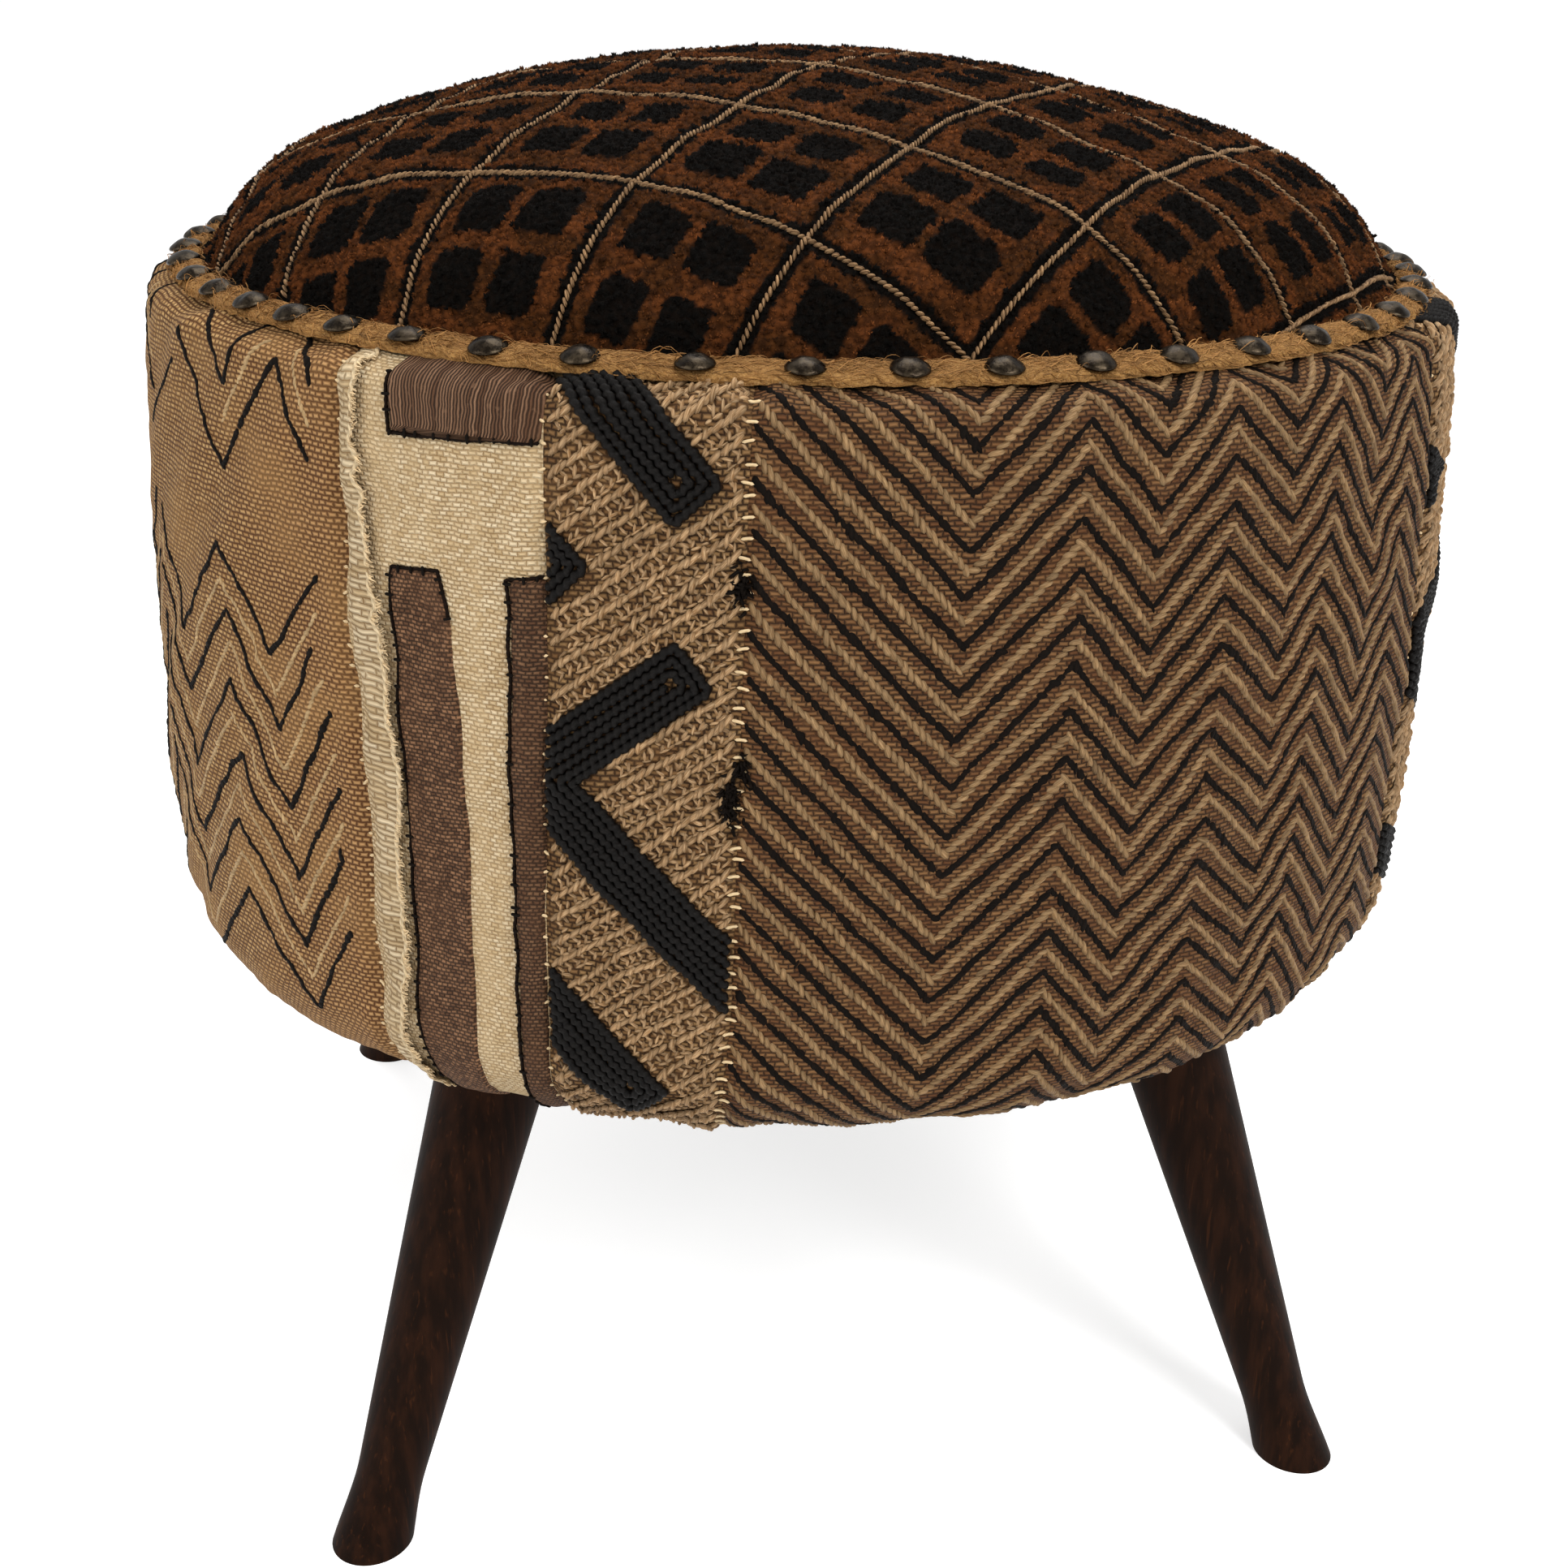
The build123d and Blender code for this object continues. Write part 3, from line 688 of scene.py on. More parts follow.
def rough_stuff(name, light, dark, scale, depth=0.0006, open_cells=False):
    """Foam with open cells, or wadding, hardboard or felt."""
    sh = shader(name)
    place = sh.place()
    kind = sh.cells(place, scale) if open_cells else sh.noise(place, scale, 4.0)
    patch = sh.noise(place, scale / 12, 3.0)
    tone = sh.mix(sh.steps(kind, 0.1, 0.7), dark, light)
    tone = sh.mix(sh.times(patch, 0.4), tone, dark)
    return sh.surface(tone, 0.9, sh.bump(kind, 0.6, depth))


# Colours
CREAM = colour(218, 199, 165)
CREAM_DEEP = colour(186, 160, 120)
TAN = colour(193, 156, 104)
TAN_DEEP = colour(157, 119, 72)
# The tan's darker tone over the right part of its panel
TAN_RIGHT_PART = colour(174, 131, 86)
BROWN = colour(130, 94, 59)
BROWN_RED = colour(92, 58, 33)
GAP = colour(26, 15, 8)
PATCH = colour(118, 86, 61)
PATCH_TOP = colour(135, 102, 77)
PATCH_LONG = colour(146, 107, 77)
PATCH_DEEP = colour(86, 58, 39)
PATCH_GAP = colour(34, 22, 14)
BEIGE = colour(149, 121, 86)
BEIGE_DEEP = colour(108, 81, 50)
BLACK = colour(20, 12, 7)
BLACK_DEEP = colour(9, 7, 5)
ROPE_TAN = colour(178, 149, 113)
ROPE_TAN_DEEP = colour(125, 92, 57)
JUTE = colour(168, 126, 72)
JUTE_DEEP = colour(112, 76, 38)
JUTE_PALE = colour(212, 178, 130)
CORD = colour(161, 128, 91)
CORD_DEEP = colour(84, 58, 34)
RUST = np.array(colour(80, 43, 18)[:3])
RUST_DEEP = np.array(colour(60, 33, 12)[:3])
PILE_BLACK = np.array(colour(5, 4, 3)[:3])

beige_thread = thread("beige_thread", BEIGE, BEIGE_DEEP)
black_thread = thread("black_thread", BLACK, BLACK_DEEP, rough=0.75, gloss=0.06)
black_rope = thread("black_rope", colour(17, 13, 11), BLACK_DEEP, rough=0.5, fibre=4.0, depth=0.0003,
                    gloss=0.1)
tan_rope = thread("tan_rope", ROPE_TAN, ROPE_TAN_DEEP)
cream_thread = thread("cream_thread", CREAM, CREAM_DEEP)
cord_thread = thread("cord_thread", CORD, CORD_DEEP)
jute_fibre = thread("jute_fibre", JUTE, JUTE_DEEP, rough=0.7)


# The side's panels: where each starts, and its kind of raffia

SEAMS = {
    "tan_left": (-205.0, "tan"),
    "cream_front": (-124.8, "cream"),
    "knotted_front": (-106.9, "knotted"),
    "chevron_front": (-92.9, "chevron"),
    "knotted_right": (-28.3, "knotted"),
    "cream_back": (2.0, "cream"),
    "chevron_back": (26.0, "chevron"),
    "knotted_back": (98.0, "knotted"),
    "tan_back": (118.0, "tan"),
}
# How far a seam drifts from its azimuth at the top: lengths down and degrees
SEAM_DRIFT = {
    "cream_front": ((0, 0), (60, 0.9), (120, 2.1), (260, 2.2)),
    "knotted_front": ((0, -0.5), (20, -0.4), (60, -0.2), (200, -0.7), (260, -0.8)),
    "chevron_front": ((0, 0), (100, -0.4), (160, -0.7), (200, -1.6), (260, -1.8)),
    "knotted_right": ((0, 1.4), (100, 2.0), (260, 1.6)),
    "chevron_back": ((0, 0), (130, 0.8), (260, 0.4)),
    "knotted_back": ((0, 0), (100, -0.6), (260, 0.5)),
}
RAFFIA = {
    "tan": dict(cell=(2.3, 1.45), light=TAN, dark=TAN_DEEP, gap=colour(76, 44, 20), depth=0.0007,
                painted_edge_shade=1.0, right_tone=(0.72, TAN_RIGHT_PART)),
    "cream": dict(cell=(2.1, 1.2), light=CREAM, dark=CREAM_DEEP, gap=colour(124, 96, 60), depth=0.0005,
                  painted_edge_shade=0.5, bands=0.35),
    "knotted": dict(cell=(2.6, 1.6), light=colour(150, 117, 77), dark=colour(108, 76, 45),
                    gap=colour(36, 21, 10), depth=0.0007, painted_edge_shade=0.9),
    "chevron": dict(cell=(2.9, 1.3), light=BROWN, dark=BROWN_RED, gap=GAP, depth=0.0007, painted_edge_shade=0.7),
}
PANEL_STEP = 1.25
PANEL_TUCK = 3.0
PANEL_EDGE = 0.2

# How the cloth stands off the drum's plain outline, as heights, spreads and
# lengths down in mm: lumps and puckers, a hollow at the right, the sides drawn
# in low down, each seam pulled in with a swell beside it, and a hem that lies flat
GROUND_R = 205.0
LUMP_HEIGHT = 0.45
PUCKER_HEIGHT = 0.1
HOLLOW_DEPTH, HOLLOW_AZIMUTH, HOLLOW_DEGREES, HOLLOW_FROM, HOLLOW_TO = 1.6, -2.0, 30.0, 60, 130
DRAWN_DEPTH, DRAWN_FROM, DRAWN_TO = 1.2, 150, 200
SEAM_DEPTH, SEAM_SPREAD = 1.3, 2.6
SWELL_HEIGHT, SWELL_OFF, SWELL_SPREAD = 0.35, 6, 4
HEM_FROM, HEM_TO, HEM_SINK = 26, 15, 0.3

names = list(SEAMS)
first_azimuth = SEAMS[names[0]][0]
lumps = waves(14, 26, 110, 3)
puckers = waves(10, 7, 20, 4)


def seam_at(name, down):
    table = np.array(SEAM_DRIFT.get(name, ((0, 0), (1, 0))), float)
    return SEAMS[name][0] + np.interp(down, table[:, 0], table[:, 1])


def next_name(name):
    return names[(names.index(name) + 1) % len(names)]


def right_seam_at(name, down):
    after = next_name(name)
    value = seam_at(after, down)
    return value + 360.0 if SEAMS[after][0] < SEAMS[name][0] else value


def side_ground(azimuth, down):
    """How far the cloth stands off the drum's plain outline, in mm."""
    azimuth = np.asarray(azimuth, float)
    wrapped = (azimuth - first_azimuth) % 360.0 + first_azimuth
    x, y = GROUND_R * np.cos(np.radians(azimuth)), GROUND_R * np.sin(np.radians(azimuth))
    height = LUMP_HEIGHT * lumps(x * 1.3 + down * 0.6, y * 1.3 - down)
    height = height + PUCKER_HEIGHT * puckers(x + down, y - down)
    hollow = HOLLOW_DEPTH * np.exp(-(((wrapped - HOLLOW_AZIMUTH) / HOLLOW_DEGREES) ** 2))
    height = height - hollow * ramp(down, HOLLOW_FROM, HOLLOW_TO)
    height = height - DRAWN_DEPTH * np.cos(np.radians(azimuth)) ** 2 * ramp(down, DRAWN_FROM, DRAWN_TO)
    for name in names:
        for turn in (0.0, 360.0):
            off = (wrapped - seam_at(name, down) - turn) * SIDE_MM_PER_DEGREE
            swell = SWELL_HEIGHT * np.exp(-(((np.abs(off) - SWELL_OFF) / SWELL_SPREAD) ** 2))
            height = height - SEAM_DEPTH * np.exp(-((off / SEAM_SPREAD) ** 2)) + swell
    flat = ramp(down, SIDE_END - HEM_FROM, SIDE_END - HEM_TO)
    return height * (1 - flat) - HEM_SINK * flat


def on_cloth(x, y, out):
    """World points on the side's cloth, for flat places whose x is in mm of cloth."""
    azimuth = x / SIDE_MM_PER_DEGREE
    return side_at(azimuth, y, out + side_ground(azimuth, y))


def panel(name):
    kind = SEAMS[name][1]
    down = np.arange(SIDE_TOP + PANEL_TUCK, SIDE_END - PANEL_EDGE, PANEL_STEP)
    left, right = seam_at(name, down), right_seam_at(name, down)
    width, length = float((right - left).max() * SIDE_MM_PER_DEGREE), float(down[-1] - down[0])
    share = np.linspace(0, 1, int(width / PANEL_STEP))
    azimuth = left[:, None] + (right - left)[:, None] * share[None]
    rows = np.broadcast_to(down[:, None], azimuth.shape)
    points = side_at(azimuth, rows, side_ground(azimuth, rows))
    uv = np.stack(np.broadcast_arrays(share[None], 1 - (rows - down[0]) / length), -1)
    material = woven(f"raffia_{name}", (width, length), **RAFFIA[kind])
    piece = grid_piece(f"cloth_{name}", points, material, f"raffia_{kind}", [f"panel_{name}"], uv)


for name in names:
    panel(name)


# Chevron panels: beige stem-stitched lines with black lines midway

# Vertices of a line: azimuth at the top, its drift by CHEVRON_DRIFT_LENGTH, and
# how far the line is above its place at the first valley
CHEVRON_FRONT = (
    (-93.4, -1.2, 56.0), (-77.5, -2.1, 0.0), (-69.5, -1.3, 30.0), (-63.2, -2.1, 6.7), (-57.1, -1.0, 30.0),
    (-50.7, -1.1, 9.5), (-45.6, -2.2, 27.0), (-38.7, -2.5, 0.5), (-33.5, -1.3, 20.0), (-27.5, 0.0, -2.0),
    (-24.0, 0.0, 12.0),
)
CHEVRON_BACK = (
    (25.5, 1.0, 10.0), (35.0, -1.5, 38.0), (43.0, -1.0, 8.0), (52.0, 1.2, 40.0), (60.5, 1.5, 9.0),
    (68.0, -1.0, 35.0), (76.5, -1.5, 5.0), (85.5, -0.5, 37.0), (92.0, 0.6, 14.0), (98.5, 0.0, 38.0),
)
CHEVRON_DRIFT_LENGTH = 180.0
CHEVRON_PITCH = 12.1
CHEVRON_START = {"front": 18.5, "back": 34.0}
CHEVRON_LINES = range(-3, 22)
CHEVRON_HAND = 0.35

# The lengths down between which patterns are worked
PATTERN_TOP = -7.0
PATTERN_END = 222.0

# Kinds of line: its piece, how far it lies below the first line, its waver, its
# thread and slot, and its stitches
CHEVRON_KINDS = (
    ("beige_lines", 0.0, 0.14, beige_thread, "raffia_cream",
     dict(pitch=2.3, length=3.9, width=1.7, height=0.8, slant=0.4, tilt=0.7, blunt=3.5, jitter=0.1, along=8)),
    ("black_lines", CHEVRON_PITCH / 2, 0.18, black_thread, "rope_black",
     dict(pitch=1.1, length=2.7, width=1.75, height=0.4, slant=0.5, jitter=0.22)),
)


def chevron_lines(vertices, start, seed):
    local = np.random.default_rng(seed)
    found = []
    for index in CHEVRON_LINES:
        level = start + index * CHEVRON_PITCH
        path = []
        for azimuth, drift, above in vertices:
            down = level - above + local.normal() * CHEVRON_HAND
            path.append(((azimuth + drift * down / CHEVRON_DRIFT_LENGTH) * SIDE_MM_PER_DEGREE, down))
        found.append(np.array(path))
    return found


def on_panel(points, name, margin, short=0.0):
    """Whether flat points lie on a panel's pattern, a margin inside its seams."""
    azimuth, down = points[:, 0] / SIDE_MM_PER_DEGREE, points[:, 1]
    spare = margin / SIDE_MM_PER_DEGREE
    between = (azimuth > seam_at(name, down) + spare) & (azimuth < right_seam_at(name, down) - spare)
    return between & (down > PATTERN_TOP + short) & (down < PATTERN_END - short)


def clipped(path, name, margin=0.8):
    """The parts of a flat path that lie on a panel's pattern."""
    points, _ = resample(path, 0.5)
    return runs_where(points, on_panel(points, name, margin), 4)


def wavy(path, amount):
    drift = waves(6, 9, 40, int(abs(path[0].sum() * 7)) % 9973)
    return path + np.stack([drift(path[:, 0], path[:, 1]), drift(path[:, 1], path[:, 0])], 1) * amount


def chevron(side, vertices, seed):
    for index, (kind, below, waver, material, slot, stitch) in enumerate(CHEVRON_KINDS):
        paths = chevron_lines(vertices, CHEVRON_START[side] + below, seed + index)
        lines = [wavy(run, waver) for path in paths for run in clipped(path, f"chevron_{side}")]
        stitched(f"{kind}_{side}", on_cloth, lines, material, slot, **stitch)


chevron("front", CHEVRON_FRONT, 21)
chevron("back", CHEVRON_BACK, 31)


# Knotted panels: raised ropes that run up to the right, knots between them,
# and black bars of couched rope

ROPE_RISE = 0.70
ROPE_ROW = 5.6

# Middle lines of the black bars as (share of the panel's width, length down),
# how many ropes each is across and the ropes' pitch in mm. A bar's ropes turn
# round its last place
BARS = (
    (((0.03, -14), (0.775, 27.5)), 7, 2.45),
    (((-0.40, 22), (0.05, 44), (-0.40, 66)), 6, 2.35),
    (((1.12, 157), (-0.05, 98.5), (0.775, 66.0)), 7, 2.35),
    (((-0.16, 154), (0.60, 192)), 7, 2.35),
)

ROPE_STITCH = dict(pitch=2.9, length=4.8, width=1.6, height=1.1, slant=-0.22, tilt=0.5, lift=0.4,
                   along=9, across=6, jitter=0.08, tones=0.11, blunt=3.0)
CROSS_STITCH = dict(pitch=5.7, length=3.3, width=1.5, height=1.35, slant=-0.75, tilt=0.3, lift=0.7,
                    along=8, across=6, jitter=0.12, tones=0.12, blunt=2.6)
KNOT_STITCH = dict(pitch=3.0, length=2.7, width=1.05, height=0.55, slant=0.0, tilt=0.5, jitter=0.14,
                   tones=0.16, along=6, across=4)
BAR_ROPE = dict(radius=1.2, step=0.4, out=0.6, sides=8, ridge=0.24, ridge_pitch=2.5, starts=1, flat=1.1,
                wander=0.3)
BAR_END = 0.4

# Stitches of a knot: how far above the rope in mm, and their turn from its way
KNOT_TURNS = ((1.75, 1.25), (3.15, -0.8), (4.1, 0.15))
KNOT_PITCH = 2.5
KNOT_MARGIN = 1.6
KNOTS_KEPT = 0.86


def offset(path, distance):
    """A flat path moved sideways, with sharp corners kept."""
    normal = left_of(unit(np.diff(path, axis=0)))
    first, last = np.r_[normal[:1], normal], np.r_[normal, normal[-1:]]
    return path + distance * (first + last) / (1 + np.sum(first * last, 1, keepdims=True))


def rope_loops(path, half, pitch):
    """Ropes side by side along a bar, out and back round its end."""
    way = unit(path[-1] - path[-2])
    end = path[-1] - way * half
    path = np.r_[path[:-1], end[None]]
    loops = []
    distance = half - pitch / 2
    while distance > -0.1:
        if distance < pitch / 3:
            loops.append(path)
        else:
            there, back = offset(path, distance), offset(path, -distance)
            loop = np.r_[there[:-1], there[-1:] + way * distance, back[-1:] + way * distance, back[-2::-1]]
            loops.append(loop)
        distance -= pitch
    return loops


def eased(path):
    """A path with its corners eased by a running mean of five points."""
    points, _ = resample(path, 0.5)
    padded = np.pad(points, ((2, 2), (0, 0)), "edge")
    return np.stack([np.convolve(column, np.ones(5) / 5, "valid") for column in padded.T], 1)


def bar_path(name, shares):
    points = []
    for share, down in shares:
        left, right = seam_at(name, down), right_seam_at(name, down)
        points.append(((left + share * (right - left)) * SIDE_MM_PER_DEGREE, down))
    return np.array(points)


def bar_outline(path, half):
    way = unit(path[-1] - path[-2])
    path = np.r_[path[:-1], path[-1:] - way * BAR_END]
    return np.r_[offset(path, half), offset(path, -half)[::-1]]


def within(points, outline):
    """Whether flat points lie inside an outline."""
    x, y = points[:, 0], points[:, 1]
    inside = np.zeros(len(points), bool)
    for k in range(len(outline)):
        x0, y0 = outline[k - 1]
        x1, y1 = outline[k]
        crosses = (y0 > y) != (y1 > y)
        inside ^= crosses & (x < (x1 - x0) * (y - y0) / (y1 - y0 + 1e-12) + x0)
    return inside


def clear_of(points, outlines):
    """Whether flat points lie outside every outline."""
    return ~np.any([within(points, outline) for outline in outlines], axis=0)


def rope_runs(name, outlines):
    """The raised ropes of a knotted panel, where its bars leave them seen."""
    left = float(seam_at(name, 100)) * SIDE_MM_PER_DEGREE - 6
    right = float(right_seam_at(name, 100)) * SIDE_MM_PER_DEGREE + 6
    width = right - left
    runs = []
    level = PATTERN_TOP + 1
    while level < PATTERN_END + width * ROPE_RISE:
        x = np.linspace(left, right, int(width / 9) + 2)
        y = level - ROPE_RISE * (x - left) + rng.normal(size=len(x)) * 0.5
        for run in clipped(np.stack([x, y], 1), name, 1.5):
            runs += runs_where(run, clear_of(run, outlines), 1)
        level += ROPE_ROW * math.hypot(1.0, ROPE_RISE) * rng.uniform(0.95, 1.05)
    return runs


def knot_paths(name, runs, outlines):
    """The short paths of the knots' stitches, between the ropes."""
    centres, turns = [], []
    for run in runs:
        points, way = resample(run, KNOT_PITCH, 0.12)
        heading = np.arctan2(way[:, 1], way[:, 0])
        for off, turn in KNOT_TURNS:
            centres.append(points + left_of(way) * (off + rng.normal(size=(len(points), 1)) * 0.15))
            turns.append(heading + turn + rng.normal(size=len(points)) * 0.14)
    centre, heading = np.concatenate(centres), np.concatenate(turns)
    keep = on_panel(centre, name, KNOT_MARGIN, 1.0) & clear_of(centre, outlines)
    keep &= rng.uniform(size=len(centre)) < KNOTS_KEPT
    centre, heading = centre[keep], heading[keep]
    step = np.stack([np.cos(heading), np.sin(heading)], 1)
    return list(np.stack([centre - step, centre + step], 1))


def knotted(side):
    name = f"knotted_{side}"
    ropes, bars = Build(), Build()
    paths = [bar_path(name, shares) for shares, _, _ in BARS]
    halves = [count * pitch / 2 for _, count, pitch in BARS]
    outlines = [bar_outline(path, half) for path, half in zip(paths, halves)]
    runs = rope_runs(name, outlines)
    stitches(ropes, on_cloth, runs, **ROPE_STITCH)
    stitches(ropes, on_cloth, runs, **CROSS_STITCH)
    ropes.finish(f"knot_ropes_{side}", tan_rope, "raffia_knotted")
    knots = knot_paths(name, runs, outlines)
    stitched(f"knots_{side}", on_cloth, knots, tan_rope, "raffia_knotted", **KNOT_STITCH)
    loops = []
    for path, half, (_, _, pitch) in zip(paths, halves, BARS):
        for loop in rope_loops(path, half, pitch):
            loops += clipped(eased(loop), name, 0.6)
    tubes_on(bars, on_cloth, loops, **BAR_ROPE)
    bars.finish(f"black_ropes_{side}", black_rope, "rope_black", [f"rope_bars_{side}"])


for side in ("front", "right", "back"):
    knotted(side)


# Tan panels: black zigzags with pale lines between them, as (azimuth from the
# left panel's, length down)

TAN_BLACK = (
    ((-156, 39), (-148, 15)),
    ((-146.5, 6), (-139.3, 38), (-131.8, 5), (-127.7, 29)),
    ((-144.9, -6), (-141.7, 3.4), (-138.4, 15.5), (-136, -6)),
    ((-130.9, -6), (-127.3, 6), (-127, 9)),
    ((-155, 62), (-147.3, 91), (-139.5, 59), (-132.5, 84.5), (-127, 58)),
    ((-155, 80), (-147.5, 110), (-139.2, 78), (-131.9, 105), (-127.2, 78)),
    ((-155, 101), (-147.5, 132), (-138.9, 98), (-131.3, 127), (-126, 95)),
    ((-155, 122), (-147.9, 152), (-138.6, 119), (-130.9, 147), (-125.4, 116)),
    ((-155, 140), (-147.8, 170), (-139, 138), (-130.8, 166), (-125.5, 137), (-125.8, 134)),
    ((-154, 205), (-146, 183), (-138.9, 159), (-130, 186), (-125, 157)),
)
TAN_PALE = (
    ((-139, 26), (-133.5, 0)),
    ((-130, 0), (-127.5, 20)),
    ((-155, 71), (-147.4, 101), (-139.4, 69), (-132.2, 95), (-127, 68)),
    ((-155, 91), (-147.5, 121), (-139, 87), (-131.6, 116), (-126.4, 86)),
    ((-155, 112), (-147.7, 142), (-138.8, 108), (-131.1, 137), (-125.7, 106)),
    ((-155, 131), (-147.8, 161), (-138.8, 128), (-130.8, 157), (-125.4, 126)),
    ((-155, 150), (-147.8, 181), (-139, 148), (-130.4, 176), (-125.2, 147)),
)
TAN_MARGIN = 2.0
TAN_WAVER = 0.3
TAN_KINDS = (
    ("black_zigzags", TAN_BLACK, black_thread, "rope_black",
     dict(pitch=1.1, length=2.5, width=2.0, height=0.45, slant=0.3, jitter=0.2)),
    ("pale_zigzags", TAN_PALE, cream_thread, "raffia_cream",
     dict(pitch=1.7, length=2.8, width=1.4, height=0.35, slant=0.35, jitter=0.15, tint=(0.64, 0.55, 0.43))),
)


def tan_panel(side, turns):
    """The zigzag lines of a tan panel, repeated at other azimuths."""
    for kind, lines, material, slot, stitch in TAN_KINDS:
        found = []
        for turn in turns:
            for path in lines:
                flat = (np.array(path, float) + (turn, 0)) * (SIDE_MM_PER_DEGREE, 1)
                found += [wavy(run, TAN_WAVER) for run in clipped(flat, f"tan_{side}", TAN_MARGIN)]
        stitched(f"{kind}_{side}", on_cloth, found, material, slot, **stitch)


tan_panel("left", (0.0, -29.5, -59.0))
tan_panel("back", (284.0, 254.0))


# Cream panels: brown patches with black edging, and a folded, frayed selvedge.
# The back's are the front's, moved by some degrees
CREAM_MOVES = {"front": 0.0, "back": 128.5}

# Patch corners on the front cream panel, as (azimuth, length down)
PATCHES = {
    "top": ((-120.0, 1.5), (-119.6, 17.5), (-107.4, 15.2), (-107.0, -7.0), (-119.6, -7.0)),
    "long": ((-119.4, 50.5), (-119.5, 62.0), (-118.8, 98.0), (-118.4, 133.0), (-118.8, 222.0),
             (-113.4, 222.0), (-113.3, 165.0), (-113.2, 128.0), (-113.5, 94.0), (-114.3, 62.0),
             (-115.4, 49.5)),
    "edge": ((-109.9, 49.0), (-109.6, 60.0), (-109.8, 92.0), (-109.6, 126.0), (-109.7, 222.0),
             (-107.6, 222.0), (-107.4, 140.0), (-107.0, 100.0), (-106.9, 47.5)),
}
EDGED = {"top": (0, 1, 2), "long": (9, 10, 0, 1, 2, 3, 4), "edge": (8, 0, 1, 2, 3, 4)}
PATCH_RAFFIA = {
    "top": dict(cell=(0.95, 45.0), light=PATCH_TOP, painted_edge_shade=1.0),
    "long": dict(cell=(1.9, 1.15), light=PATCH_LONG, painted_edge_shade=0.75),
    "edge": dict(cell=(1.9, 1.15), light=PATCH, painted_edge_shade=0.75),
}
PATCH_CORNER = 1.6
PATCH_STEP = 1.1
PATCH_THICKNESS = 0.9
PATCH_ROUND = 1.2
PATCH_SINK = 0.4
PATCH_SLACK = 0.05
EDGING_ROPE = dict(radius=0.48, step=0.5, out=0.3, sides=7, ridge=0.2, ridge_pitch=1.8, tint=(1.7, 1.3, 1.1))
EDGING_TICK = dict(radius=0.42, step=0.35, out=1.0, sides=6)
TICK_PITCH = 4.6


def round_corners(outline):
    """An outline with each corner cut to a small arc."""
    found = []
    for k in range(len(outline)):
        before, here, after = outline[k - 1], outline[k], outline[(k + 1) % len(outline)]
        a, b = (here + unit(end - here) * min(PATCH_CORNER, np.linalg.norm(end - here) / 2.2)
                for end in (before, after))
        for t in np.linspace(0, 1, 6):
            found.append((1 - t) ** 2 * a + 2 * t * (1 - t) * here + t**2 * b)
    return np.array(found)


def uv_grid(rows, columns):
    """Coordinates from 0 to 1 over a sheet's grid, whose first row is the top."""
    down, across = np.meshgrid(np.linspace(1, 0, rows), np.linspace(0, 1, columns), indexing="ij")
    return np.stack([across, down], -1)


def patch_grid(outline):
    """Flat places row by row over an outline, and their heights with a rounded edge."""
    rows = []
    top, bottom = outline[:, 1].min() + PATCH_SLACK, outline[:, 1].max() - PATCH_SLACK
    columns = max(int(np.ptp(outline[:, 0]) / PATCH_STEP), 6)
    for level in np.linspace(top, bottom, int((bottom - top) / PATCH_STEP)):
        crossings = []
        for k in range(len(outline)):
            (x0, y0), (x1, y1) = outline[k - 1], outline[k]
            if (y0 - level) * (y1 - level) < 0:
                crossings.append(x0 + (x1 - x0) * (level - y0) / (y1 - y0))
        row = np.linspace(min(crossings), max(crossings), columns)
        rows.append(np.stack([row, np.full(columns, level)], 1))
    grid = np.array(rows)
    share = np.linspace(0, 1, columns)
    across = np.minimum(share, 1 - share) * (grid[:, -1:, 0] - grid[:, :1, 0])
    along = np.minimum(grid[..., 1] - top, bottom - grid[..., 1])
    near = np.clip(np.minimum(across, along) / PATCH_ROUND, 0, 1)
    return grid, (PATCH_THICKNESS + PATCH_SINK) * np.sqrt(1 - (1 - near) ** 2) - PATCH_SINK


def patch(side, kind, corners, move):
    outline = np.array(corners, float)
    outline[:, 0] = (outline[:, 0] + move) * SIDE_MM_PER_DEGREE
    rounded = round_corners(outline)
    grid, height = patch_grid(rounded)
    x, y = grid[..., 0], grid[..., 1]
    width, length = float(np.ptp(x)), float(np.ptp(y))
    material = woven(f"raffia_patch_{kind}_{side}", (width, length), dark=PATCH_DEEP, gap=PATCH_GAP,
                     depth=0.0006, **PATCH_RAFFIA[kind])
    piece = grid_piece(f"patch_cloth_{kind}_{side}", on_cloth(x, y, height), material, "raffia_brown",
                       [f"patch_{kind}_{side}"], uv_grid(*x.shape))
    patch_edging(f"patch_edging_{kind}_{side}", np.array([outline[k] for k in EDGED[kind]]))


def patch_edging(name, edge):
    """A couched rope along a patch's edge, with small ticks across it."""
    edging = Build()
    tubes_on(edging, on_cloth, [wavy(resample(edge, 0.6)[0], 0.2)], **EDGING_ROPE)
    points, way = resample(edge, TICK_PITCH, 0.3)
    ticks = []
    for point, normal in zip(points, left_of(way)):
        reach = rng.uniform(1.2, 2.0)
        ticks.append(np.array([point - normal * reach, point + normal * reach * 0.6]))
    tubes_on(edging, on_cloth, ticks, **EDGING_TICK)
    edging.finish(name, black_thread, "rope_black")


